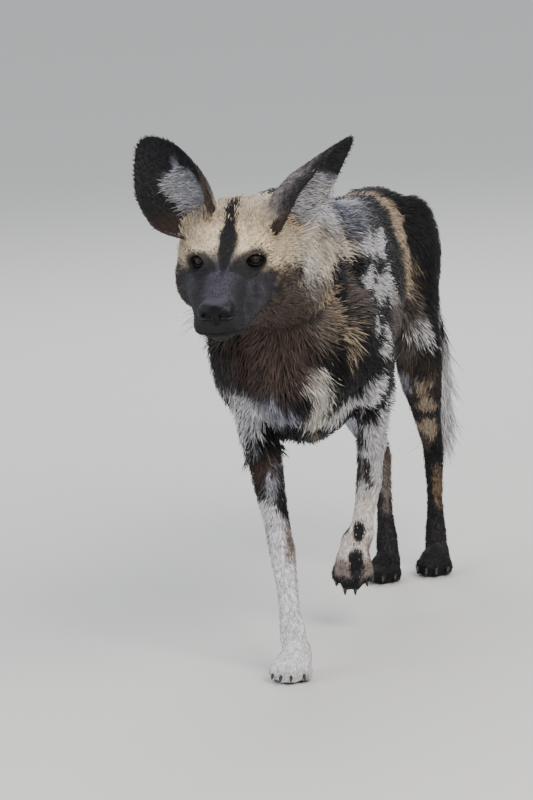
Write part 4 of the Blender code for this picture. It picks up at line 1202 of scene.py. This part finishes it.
@dataclass
class Coat:
    """The fur, as solid tufts rooted in the skin.

    Attributes:
        skin: The skin that carries it.
        limit: Most tufts in one piece.
    """

    skin: Skin
    limit: int = 19000

    def sample(self, names: tuple, dense: list, rng: np.random.Generator) -> Tufts:
        """Draws roots on the skin.

        Args:
            names: Beginnings of the names of the regions.
            dense: Tufts to the square centimetre in each region.
            rng: Random numbers.

        Returns:
            The tufts, with their roots only.
        """
        mesh = self.skin.obj.data
        points, normals = coordinates(mesh), vertex_normals(mesh)
        corners = np.empty(len(mesh.loops), np.int32)
        mesh.loops.foreach_get("vertex_index", corners)
        corners = corners.reshape(-1, 3)
        flat = np.empty(len(mesh.loops) * 2, np.float32)
        mesh.uv_layers["OFBake"].data.foreach_get("uv", flat)
        flat = flat.reshape(-1, 3, 2)
        keep = within(self.skin.regions[corners[:, 0]], *names)
        corners, flat = corners[keep], flat[keep]
        triangle = points[corners]
        area = np.cross(triangle[:, 1] - triangle[:, 0], triangle[:, 2] - triangle[:, 0])
        area = np.linalg.norm(area, axis=1) / 2
        middles = Spots(triangle.mean(axis=1), normals[corners[:, 0]], self.skin.regions[corners[:, 0]])
        rate = np.array(dense)[middles.region] * 1e4 * self.grown_share(middles)
        total = np.cumsum(area * rate)
        count = int(total[-1])
        at = (np.arange(count) + rng.random(count)) / count * total[-1]
        pick = np.searchsorted(total, at).clip(0, len(total) - 1)
        a, b = rng.random(count), rng.random(count)
        turn = a + b > 1
        a, b = np.where(turn, 1 - a, a), np.where(turn, 1 - b, b)
        share = np.stack([1 - a - b, a, b], axis=1)[..., None]
        return Tufts((triangle[pick] * share).sum(axis=1), unit((normals[corners[pick]] * share).sum(axis=1)),
                     middles.region[pick], (flat[pick] * share).sum(axis=1))

    def grown_share(self, spots: Spots) -> np.ndarray:
        """Share of the coat that grows at each place: none on the eyes, nose and pads.

        Args:
            spots: Places on the animal.

        Returns:
            One share from 0 to 1 for each place.
        """
        local = spots.local
        share = np.ones(len(local))
        for side, _ in SIDES:
            turned = (local - np.array(eye_place(side))) @ np.array(eye_axes(side))
            oval = np.hypot(turned[:, 0] / 0.0150, turned[:, 2] / 0.0098)
            share[(oval < 1.0) & (turned[:, 1] < 0.004)] = 0.0
        nose = (np.abs(local[:, 0]) < 0.027) & (np.abs(local[:, 2] + 0.034) < 0.020)
        share[nose & (local[:, 1] < -MUZZLE + 0.013)] = 0.0
        share[spots.at("paw") & (spots.normals[:, 2] < -0.55)] = 0.0
        share[spots.at("tail_brush")] = 0.6
        return share

    def grow(self, name: str, names: tuple, seed: int) -> list:
        """Grows the short coat of some regions.

        Args:
            name: Name of the pieces.
            names: Beginnings of the names of the regions.
            seed: Seed of the draw.

        Returns:
            The pieces.
        """
        kinds = [HAIR[region_name.split("_")[0]] for region_name in REGIONS]
        rng = np.random.default_rng(seed)
        tufts = self.sample(names, [kind.dense for kind in kinds], rng)
        count = len(tufts.points)
        sizes = np.array([(kind.length, kind.width, kind.lift) for kind in kinds])[tufts.region]
        longer, wider = self.local_size(tufts)
        tufts.length = sizes[:, 0] * longer * rng.uniform(0.72, 1.25, count)
        tufts.width = sizes[:, 1] * wider * rng.uniform(0.75, 1.3, count)
        tufts.lift = sizes[:, 2] * rng.uniform(0.35, 1.5, count)
        way = lie_of_coat(tufts)
        tufts.way = unit(way + np.cross(way, tufts.normals) * rng.normal(0, 0.13, (count, 1)))
        far = rng.random((count, 1)) < (0.22 if name in ("fur_trunk", "fur_neck") else 0.08)
        stray = rng.normal(0, 0.0022, (count, 3)) * np.where(far, 4.0, 1.0)
        tufts.colour = tufts.coloured(stray, seed + 1)
        tufts = tufts.picked(np.argsort(tufts.points[:, 1], kind="stable"))
        tufts.bend = rng.normal(0, 0.10, count)
        pieces = math.ceil(count / self.limit)
        return [tufts.picked(pick).build(name if pieces == 1 else f"{name}_{k + 1}", SHORT_RINGS)
                for k, pick in enumerate(np.array_split(np.arange(count), pieces))]

    def local_size(self, spots: Spots) -> tuple:
        """Factors on the length and width of tufts: shortest on the muzzle, longest on the ruff.

        Args:
            spots: Places on the animal.

        Returns:
            Two arrays of factors.
        """
        _, y, z = spots.points.T
        aside, back, up = spots.local.T
        head = spots.at("head")
        face = smooth(-0.005, 0.060, back + 0.25 * np.abs(aside))
        length = np.where(head, 0.42 + 0.95 * face, 1.0)
        length = np.where(head & (back > 0.05) & (up < 0.0), length * 1.45, length)
        length = np.where(spots.at("neck"), 1.0 + 0.35 * smooth(0.62, 0.50, z), length)
        length = np.where(spots.at("leg"), 0.75 + 0.75 * smooth(0.10, 0.34, z), length)
        length = np.where(spots.at("torso") & (y < -0.06) & (z < 0.45), 1.20, length)
        return length, np.where(head, 0.72 + 0.45 * face, 1.0)

    def long_hair(self, sort: LongHair) -> bpy.types.Object:
        """Grows a piece of long hair.

        Args:
            sort: Where it grows, and its sizes.

        Returns:
            The piece.
        """
        rng = np.random.default_rng(sort.seed)
        tufts = self.sample(sort.names, [sort.kind.dense] * len(REGIONS), rng)
        tufts = tufts.picked(sort.grows(tufts))
        count = len(tufts.points)
        way = lie_of_coat(tufts)
        if sort.name == "hair_ears":
            for name, ear in EARS.items():
                mine = tufts.at(name)
                combed = unit(ear.up * 0.6 + ear.across * ear.comb)
                way[mine] = unit(combed[None] + rng.normal(0, 0.22, (mine.sum(), 3)))
            way = along_surface(way, tufts.normals)
        tufts.way = unit(way + np.cross(way, tufts.normals) * rng.normal(0, 0.16, (count, 1)))
        tufts.colour = tufts.coloured(rng.normal(0, 0.005, (count, 3)), sort.seed + 1)
        tufts.length = sort.kind.length * rng.uniform(0.62, 1.12, count)
        if sort.name == "hair_brush":
            room = np.maximum(tufts.points[:, 2] - 0.128, 0.02)
            tufts.length = np.minimum(tufts.length, room * rng.uniform(0.86, 1.0, count))
        if sort.name == "hair_ears":
            tufts.colour = blend(tufts.colour, Shade.SNOW, rng.uniform(0.2, 0.9, count))
        tufts.width = sort.kind.width * rng.uniform(0.7, 1.25, count)
        tufts.lift = sort.kind.lift * rng.uniform(0.3, 1.5, count)
        tufts.bend = rng.normal(0, sort.bend, count)
        return tufts.build(sort.name, LONG_RINGS)


def rgba(shade: str) -> tuple:
    """A linear colour with full alpha, from a hex value."""
    return (*linear(shade), 1.0)


class Surface:
    """A material being made: its node tree and its Principled shader."""

    def __init__(self, name: str) -> None:
        """Makes the material.

        Args:
            name: The material's name.
        """
        self.made = bpy.data.materials.new(name)
        self.made.use_nodes = True
        self.tree = self.made.node_tree
        self.shader = self.tree.nodes["Principled BSDF"]

    def node(self, kind: str, inputs: dict, **settings: object) -> bpy.types.Node:
        """Adds a node with its settings, input values and links.

        Args:
            kind: The node's type.
            inputs: Value or output socket for each input, by name or number.
            **settings: Properties of the node.

        Returns:
            The node.
        """
        made = self.tree.nodes.new(kind)
        for name, value in settings.items():
            setattr(made, name, value)
        for key, value in inputs.items():
            if isinstance(value, bpy.types.NodeSocket):
                self.tree.links.new(value, made.inputs[key])
            else:
                made.inputs[key].default_value = value
        return made

    def where(self) -> bpy.types.NodeSocket:
        """Places on the object, in metres."""
        return self.node("ShaderNodeTexCoord", {}).outputs["Object"]

    def noise(self, grain_mm: float, detail: float, **inputs: object) -> bpy.types.NodeSocket:
        """Noise over the places on the object.

        Args:
            grain_mm: Size of its grains.
            detail: Its detail.
            **inputs: Its other inputs.

        Returns:
            The noise, from 0 to 1.
        """
        given = {"Vector": self.where(), "Scale": 1000.0 / grain_mm, "Detail": detail} | inputs
        return self.node("ShaderNodeTexNoise", given).outputs["Fac"]

    def ramp(self, share: bpy.types.NodeSocket, first: str, last: str, between: tuple = ()) -> None:
        """Colours the surface along a ramp.

        Args:
            share: Place on the ramp.
            first: Colour of its start.
            last: Colour of its end.
            between: Place and colour of each further stop.
        """
        made = self.node("ShaderNodeValToRGB", {"Fac": share})
        stops = made.color_ramp.elements
        stops[0].color, stops[1].color = rgba(first), rgba(last)
        for place, code in between:
            stops.new(place).color = rgba(code)
        self.tree.links.new(made.outputs["Color"], self.shader.inputs["Base Color"])

    def marking(self, noise: bpy.types.NodeSocket, **span: float) -> None:
        """Colours the surface by its marking, made lighter and darker by a noise.

        Args:
            noise: The noise.
            **span: Ends of the noise and of the gain that it gives, with _ for a space.
        """
        ends = {name.replace("_", " "): value for name, value in span.items()}
        gain = self.node("ShaderNodeMapRange", {"Value": noise} | ends).outputs["Result"]
        colour = self.node("ShaderNodeAttribute", {}, attribute_name="marking").outputs["Color"]
        mix = self.node("ShaderNodeVectorMath", {0: colour, "Scale": gain}, operation="SCALE")
        self.tree.links.new(mix.outputs[0], self.shader.inputs["Base Color"])

    def relief(self, height: bpy.types.NodeSocket, strength: float, depth: float,
               invert: bool = False) -> None:
        """Gives the surface a fine relief.

        Args:
            height: Height of each place.
            strength: Strength of the relief.
            depth: Its depth, in metres.
            invert: True where high places go in.
        """
        made = self.node("ShaderNodeBump", {"Height": height, "Strength": strength, "Distance": depth},
                         invert=invert)
        self.tree.links.new(made.outputs["Normal"], self.shader.inputs["Normal"])

    def shine(self, roughness: float, specular: float = 0.5, film: float = 0.0,
              film_roughness: float = 0.03) -> bpy.types.Material:
        """Sets how the surface shines.

        Args:
            roughness: Its roughness.
            specular: Strength of its highlights.
            film: Weight of a wet film over it.
            film_roughness: Roughness of that film.

        Returns:
            The material.
        """
        for name, value in (("Roughness", roughness), ("Specular IOR Level", specular), ("Coat Weight", film),
                            ("Coat Roughness", film_roughness)):
            self.shader.inputs[name].default_value = value
        return self.made


@dataclass(frozen=True)
class HairFinish:
    """Dry hair in the colour of its marking, with streaks of a lighter and darker tone.

    Attributes:
        name: Name of the material.
        roughness: Roughness of the hair.
        bump: Strength of the streaks' relief.
        grain_mm: Size of the blotches in its tone.
        streak_mm: Width of the relief's streaks.
    """

    name: str = "guard_hair"
    roughness: float = 0.56
    bump: float = 0.0
    grain_mm: float = 12.0
    streak_mm: float = 1000.0 / 620.0

    def make(self) -> bpy.types.Material:
        """Builds the material."""
        surface = Surface(self.name)
        surface.marking(surface.noise(self.grain_mm, 4.0, Roughness=0.6), From_Min=0.28, From_Max=0.75,
                        To_Min=0.74, To_Max=1.24)
        if self.bump:
            along = surface.node("ShaderNodeMapping", {"Vector": surface.where(), "Scale": (1.0, 0.35, 0.45)})
            streaks = surface.noise(self.streak_mm, 3.0, Vector=along.outputs["Vector"])
            surface.relief(streaks, self.bump, 0.0012)
        return surface.shine(self.roughness, 0.28)


@dataclass(frozen=True)
class NoseFinish:
    """Bare nose leather: moist, dark and pebbled; its marking carries a painted blue-grey sky reflection on
    top.

    Attributes:
        grain_mm: Size of the pebbles.
        blotch_mm: Size of the blotches in its tone.
    """

    grain_mm: float = 1.3
    blotch_mm: float = 1000.0 / 90.0

    def make(self) -> bpy.types.Material:
        """Builds the material."""
        surface = Surface("nose_leather_moist")
        surface.marking(surface.noise(self.blotch_mm, 4.0), To_Min=0.7, To_Max=1.3)
        pebbles = {"Vector": surface.where(), "Scale": 1000.0 / self.grain_mm}
        cells = surface.node("ShaderNodeTexVoronoi", pebbles, feature="F1")
        surface.relief(cells.outputs["Distance"], 0.55, 0.0005, True)
        return surface.shine(0.42, 0.18, 0.06, 0.25)


@dataclass(frozen=True)
class MottledFinish:
    """A dark surface in two mottled tones with a fine relief, such as horn or bare skin.

    Attributes:
        name: Name of the material.
        dark: Its darker tone.
        light: Its lighter tone.
        grain_mm: Size of the mottle.
        detail: Detail of the mottle.
        depth: Depth of the relief, in metres.
        roughness: Its roughness.
        specular: Strength of its highlights.
    """

    name: str
    dark: str
    light: str
    grain_mm: float
    detail: float
    depth: float
    roughness: float
    specular: float

    def make(self) -> bpy.types.Material:
        """Builds the material."""
        surface = Surface(self.name)
        mottle = surface.noise(self.grain_mm, self.detail)
        surface.ramp(mottle, self.dark, self.light)
        surface.relief(mottle, 0.3, self.depth)
        return surface.shine(self.roughness, self.specular)


LID_SKIN = MottledFinish("eyelid_skin", "#151317", "#2c292e", 0.8, 3.0, 0.0003, 0.55, 0.25)
CLAW_HORN = MottledFinish("claw_horn", "#161312", "#2f2926", 1.0, 4.0, 0.0004, 0.40, 0.5)


@dataclass(frozen=True)
class EyeFinish:
    """A wet eyeball: black pupil, dark amber iris with fine spokes, and a brown white under a clear film.

    Attributes:
        side: Which eye it colours.
        word: The word for that side in the material's name.
        iris: Distance from the pupil's middle at which the ramp ends, in metres.
        spoke_mm: Width of the spokes.
    """

    side: int
    word: str
    iris: float = 0.0110
    spoke_mm: float = 1000.0 / 900.0

    def make(self) -> bpy.types.Material:
        """Builds the material, whose pattern is centred on the eye."""
        surface = Surface(f"eyeball_{self.word}")
        turn = HEAD.to_3x3() @ eye_axes(self.side)
        centre = HOME + HEAD @ eye_place(self.side)
        put = surface.node("ShaderNodeMapping", {"Vector": surface.where(), "Location": centre,
                                                 "Rotation": turn.to_euler("XYZ")}, vector_type="TEXTURE")
        flat = surface.node("ShaderNodeVectorMath", {0: put.outputs["Vector"], 1: (1.0, 0.0, 1.0)},
                            operation="MULTIPLY")
        radius = surface.node("ShaderNodeVectorMath", {0: flat.outputs[0]}, operation="LENGTH")
        spokes = surface.noise(self.spoke_mm, 3.0, Vector=put.outputs["Vector"])
        wobble = surface.node("ShaderNodeMath", {0: spokes, 1: 0.0009, 2: radius.outputs["Value"]},
                              operation="MULTIPLY_ADD")
        share = surface.node("ShaderNodeMapRange", {"Value": wobble.outputs[0], "From Max": self.iris})
        surface.ramp(share.outputs["Result"], "#050505", "#2a1d17",
                     ((0.34, "#050505"), (0.38, "#1a130f"), (0.54, "#261b14"), (0.68, "#17110c"),
                      (0.74, "#0a0807"), (0.80, "#1b1411")))
        return surface.shine(0.30, 0.2, 0.35, 0.03)


@dataclass
class Eye:
    """An eyeball with its cornea, and the lids round it.

    Attributes:
        side: -1 for the right eye, 1 for the left.
        word: The word for that side in names.
        half: Half width of the opening between the lids.
        lift: How far the upper lid is above the middle.
        drop: How far the lower lid is below it.
    """

    side: int
    word: str
    half: float = 0.0112
    lift: float = 0.0040
    drop: float = 0.0046

    def frame(self) -> Matrix:
        """Frame of the eye: -y is where it looks."""
        return HEAD @ Matrix.Translation(eye_place(self.side)) @ eye_axes(self.side).to_4x4()

    def ball(self) -> bpy.types.Object:
        """Makes the eyeball, whose cornea stands out by half a millimetre."""
        bpy.ops.object.select_all(action="DESELECT")
        bpy.ops.mesh.primitive_uv_sphere_add(segments=48, ring_count=32, radius=EYE_RADIUS)
        made = bpy.context.object
        points = coordinates(made.data)
        reach = np.hypot(points[:, 0], points[:, 2])
        points[:, 1] -= np.where(points[:, 1] < 0, 0.0009 * smooth(0.0078, 0.0030, reach), 0)
        place_vertices(made.data, carried(self.frame(), points))
        made.data.shade_smooth()
        made.name = f"eyeball_{self.word}"
        return made

    def lids(self) -> bpy.types.Object:
        """Makes the upper and lower lid as one closed rim, which hugs the eyeball."""
        around, rows = 48, []
        angle = np.linspace(0, 2 * math.pi, around, endpoint=False)
        rim_x = np.cos(angle) * self.half
        rim_z = np.sin(angle) ** 3 * 0.35 + np.sin(angle) * 0.65
        rim_z = rim_z * np.where(rim_z > 0, self.lift, self.drop)
        for scale, radius in ((1.50, -0.0050), (1.38, -0.0006), (1.24, 0.0010), (1.12, 0.0016),
                              (1.04, 0.0016), (1.00, 0.0012), (0.985, 0.0004), (1.04, -0.0002),
                              (1.35, -0.0016)):
            x, z = rim_x * scale, rim_z * scale * (1.0 if scale < 1.05 else 1.0 + (scale - 1.0) * 1.1)
            reach = EYE_RADIUS + radius
            y = -np.sqrt(np.maximum(reach**2 - x**2 - z**2, (0.30 * reach) ** 2))
            rows.append(np.stack([x, y, z], axis=1))
        points = carried(self.frame(), np.vstack(rows))
        made = outward_mesh(f"lids_{self.word}", points, bands(len(rows), around, True))
        made.data.shade_smooth()
        return made


@dataclass
class Nose:
    """The bare nose: a pad with flared wings, comma-shaped nostrils and a groove down its middle.

    Attributes:
        voxel: How finely its masses are fused.
    """

    voxel: float = 0.0008

    def build(self) -> bpy.types.Object:
        """Fuses the masses of the pad and presses in the nostrils."""
        frame = HEAD @ Matrix.Translation(Vector((0, -MUZZLE, -0.0345)))
        masses = (((0, 0.0125, 0.001), (0.0254, 0.0182, 0.0158), 0),
                  ((0, 0.0150, 0.0085), (0.0203, 0.0192, 0.0090), 0),
                  ((0, 0.0095, -0.0115), (0.0105, 0.0115, 0.0120), 0),
                  ((-0.0166, 0.0085, -0.0015), (0.0094, 0.0122, 0.0113), 18),
                  ((0.0166, 0.0085, -0.0015), (0.0094, 0.0122, 0.0113), -18))
        parts = []
        for at, radii, turn in masses:
            bpy.ops.object.select_all(action="DESELECT")
            bpy.ops.mesh.primitive_uv_sphere_add(segments=32, ring_count=20, radius=1.0)
            part = bpy.context.object
            turned = Matrix.Rotation(math.radians(turn), 4, "Z") @ Matrix.Diagonal((*radii, 1.0))
            part.data.transform(frame @ Matrix.Translation(Vector(at)) @ turned)
            parts.append(part)
        made = joined("nose_pad", parts)
        applied(made, "REMESH", mode="VOXEL", voxel_size=self.voxel)
        applied(made, "SMOOTH", factor=0.6, iterations=7)
        points = carried(frame.inverted(), coordinates(made.data))
        x, y, z = points.T
        front = smooth(0.010, 0.002, y)
        for side, _ in SIDES:
            hole = np.sqrt(((x - side * 0.0118) / 0.0064) ** 2 + ((z + 0.0028) / 0.0047) ** 2)
            slit = np.sqrt(((x - side * 0.0182) / 0.0090) ** 2 + ((z + 0.0052) / 0.0024) ** 2)
            points[:, 1] += 0.0120 * smooth(1.10, 0.55, hole) * front
            points[:, 1] += 0.0042 * smooth(1.2, 0.5, slit) * smooth(0.016, 0.004, y) * (hole > 0.7)
        groove = np.exp(-(x / 0.0009) ** 2) * smooth(0.004, -0.004, z) * front
        points[:, 1] += 0.0016 * groove
        place_vertices(made.data, carried(frame, points))
        # Painted reflection: the upward-facing top of the pad is coloured blue-grey like the sky's reflection
        # on it.
        top = smooth(0.60, 0.95, vertex_normals(made.data) @ np.array(HEAD.to_3x3())[:, 2])
        set_colour(made.data, blend(np.tile(linear("#08070a"), (len(points), 1)), Shade.BRIDGE, top * 0.9))
        made.data.shade_smooth()
        return made


@dataclass
class Foot:
    """Where a foot stands, and its four claws.

    Attributes:
        name: Which foot it is.
        sole: Middle of the sole.
        heading: Turn to the side, in degrees.
        toe_drop: How far the toes hang, in degrees.
    """

    name: str
    sole: tuple
    heading: float
    toe_drop: float

    def claws(self) -> bpy.types.Object:
        """Makes the claws of the foot, curved and blunt, with their roots in the toes."""
        frame = (Matrix.Translation(Vector(self.sole)) @ Matrix.Rotation(math.radians(self.heading), 4, "Z")
                 @ Matrix.Rotation(math.radians(self.toe_drop), 4, "X"))
        made = []
        for place, forward in ((-1.5, 0.036), (-0.5, 0.051), (0.5, 0.051), (1.5, 0.036)):
            x = place * 0.0152
            made.append(tube("claw", [
                ((x, -forward + 0.008, 0.0155), 0.0026, 0.0032, 0.0032),
                ((x, -forward - 0.002, 0.0135), 0.0025, 0.0030, 0.0030),
                ((x * 1.02, -forward - 0.0055, 0.0108), 0.0018, 0.0022, 0.0022),
                ((x * 1.04, -forward - 0.0072, 0.0082), 0.0005, 0.0006, 0.0006)], 12, frame))
        claws = joined(f"claws_{self.name}", made)
        claws.data.shade_smooth()
        return claws


FEET = (Foot("front_right", (-0.003, -0.206, 0.0), -2, 0), Foot("front_left", (0.022, 0.128, 0.092), -3, 44),
        Foot("hind_left", (0.064, 0.506, 0.0), 3, 0), Foot("hind_right", (-0.004, 0.456, 0.0), -2, 0))


@dataclass
class Whiskers:
    """Stiff black hairs in rows on the sides of the muzzle.

    Attributes:
        length: Length of the longest.
        thick: Thickness at the root.
    """

    length: float = 0.040
    thick: float = 0.0006

    def build(self) -> bpy.types.Object:
        """Makes all the whiskers as one piece."""
        rng = np.random.default_rng(6)
        made = []
        for side, row, column in itertools.product((-1, 1), range(3), range(4)):
            root = np.array((side * 0.030, -MUZZLE + 0.020 + column * 0.010, -0.044 - row * 0.007))
            way = np.array((side * 1.0, 0.15 + column * 0.18, -0.18 - 0.12 * row))
            way = unit(way + rng.normal(0, 0.08, 3))
            long = self.length * rng.uniform(0.6, 1.0)
            rows = []
            for share, thin in ((0, 1.0), (0.35, 0.8), (0.7, 0.5), (1.0, 0.12)):
                place = root + way * long * share + np.array((0, 0.006, -0.010)) * share**2
                rows.append((tuple(place), *[self.thick / 2 * thin] * 3))
            made.append(tube("whisker", rows, 5, HEAD))
        return joined("whiskers", made)


@dataclass
class Studio:
    """The pale floor, the soft lights and the camera.

    Attributes:
        lens: Focal length for a frame 36 mm high.
        distance: Distance of the camera over the floor.
        height: Height of the camera.
        azimuth: Side from which it looks, in degrees.
        roll: Tilt of the frame, in degrees.
        target: What it looks at.
    """

    lens: float = 239.0
    distance: float = 7.5
    height: float = 1.66
    azimuth: float = 12.5
    roll: float = -3.0
    target: tuple = (-0.072, 0.0, 0.362)

    def build(self) -> None:
        """Sets the floor, the lights, the world and the camera."""
        scene = bpy.context.scene
        bpy.ops.object.select_all(action="DESELECT")
        bpy.ops.mesh.primitive_plane_add(size=90.0, location=(0, 0, 0))
        floor = bpy.context.object
        floor.name = "floor"
        surface = Surface("studio_floor")
        surface.ramp(surface.node("ShaderNodeTexNoise", {"Scale": 3.0}).outputs["Fac"], "#d8d7d4", "#e0dfdc")
        floor.data.materials.append(surface.shine(0.9))
        for name, at, size, power, tint in (("key", (2.2, -2.6, 3.2), 2.2, 165, "#fff8ee"),
                                            ("fill", (-2.8, -2.0, 1.9), 2.6, 48, "#eef3ff"),
                                            ("back", (-0.6, 3.2, 2.8), 2.0, 70, "#ffffff")):
            light = bpy.data.lights.new(name, "AREA")
            light.energy, light.size, light.color = power, size, tuple(linear(tint))
            self.aimed(name, light, Vector(at), Vector((0, 0.05, 0.38)))
        world = bpy.data.worlds.new("studio")
        scene.world = world
        world.use_nodes = True
        sky = world.node_tree.nodes["Background"]
        sky.inputs["Color"].default_value = rgba("#e9edf2")
        sky.inputs["Strength"].default_value = 0.85
        turn = math.radians(self.azimuth)
        spot = Vector((self.distance * math.sin(turn), -self.distance * math.cos(turn), self.height))
        data = bpy.data.cameras.new("photo_camera")
        data.sensor_fit, data.sensor_height, data.lens = "VERTICAL", 36.0, self.lens
        data.clip_end = 60.0
        scene.camera = self.aimed("photo_camera", data, spot + HOME, Vector(self.target) + HOME, self.roll)

    def aimed(self, name: str, data: bpy.types.ID, spot: Vector, target: Vector,
              roll: float = 0.0) -> bpy.types.Object:
        """Puts a light or a camera at a spot and turns it to its target.

        Args:
            name: Name of the object.
            data: The light or the camera.
            spot: Where it stands.
            target: What it looks at.
            roll: Tilt about its own axis, in degrees.

        Returns:
            The object.
        """
        made = bpy.data.objects.new(name, data)
        bpy.context.scene.collection.objects.link(made)
        turn = (target - spot).normalized().to_track_quat("-Z", "Y").to_matrix().to_4x4()
        made.matrix_world = Matrix.Translation(spot) @ turn @ Matrix.Rotation(math.radians(roll), 4, "Z")
        return made


def finished(obj: bpy.types.Object, finish: bpy.types.Material) -> bpy.types.Object:
    """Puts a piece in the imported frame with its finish, body and slot.

    Args:
        obj: The piece, in the animal's frame.
        finish: Its material.

    Returns:
        The piece.
    """
    obj.data.transform(Matrix.Translation(HOME))
    obj.data.materials.clear()
    obj.data.materials.append(finish)
    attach(obj, "root")
    log.info("%s: %d faces", obj.name, len(obj.data.polygons))
    return obj


def home_of(side_boxes: list) -> Vector:
    """Offset from the animal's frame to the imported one, from the boxes of both eyes."""
    corners = [Vector(corner) for pair in side_boxes for corner in pair]
    return sum(corners, Vector()) / 4 - EYE_BOX_MIDDLE


# The short coat's pieces with the regions that they grow in
FUR = (("fur_head", ("head",)), ("fur_neck", ("neck",)), ("fur_trunk", ("torso",)),
       ("fur_legs", ("leg", "paw")), ("fur_ears", ("ear",)), ("fur_tail", ("tail",)))


def main() -> None:
    """Builds the animal in order and dresses it."""
    nodes = frame["nodes"]
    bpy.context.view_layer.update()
    hair = HairFinish().make()
    skin = Skin()
    body = skin.build(nodes)
    coat = Coat(skin)
    pieces = []
    for seed, (name, names) in enumerate(FUR, 1):
        pieces += coat.grow(name, names, seed)
    pieces += [coat.long_hair(sort) for sort in LONG_HAIR]
    for piece in pieces:
        finished(piece, hair)
    finished(body, HairFinish("coat_skin", 0.72, 0.6).make())
    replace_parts(body, *FLESH, "neck", "ear_left", "ear_right")
    brush = next(piece for piece in pieces if piece.name == "hair_brush")
    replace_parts(brush, "tail_brush")
    lid_skin, horn = LID_SKIN.make(), CLAW_HORN.make()
    for side, word in SIDES:
        eye = Eye(side, word)
        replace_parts(finished(eye.ball(), EyeFinish(side, word).make()), f"eye_{word}")
        finished(eye.lids(), lid_skin)
    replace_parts(finished(Nose().build(), NoseFinish().make()), "nose")
    for foot in FEET:
        finished(foot.claws(), horn)
    finished(Whiskers().build(), horn)
    Studio().build()


if __name__ == "__main__":
    logging.basicConfig(level=logging.INFO, format="%(message)s")
    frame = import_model()
    bpy.ops.object.select_all(action="DESELECT")
    HOME = home_of([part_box("eye_left"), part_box("eye_right")])
    main()
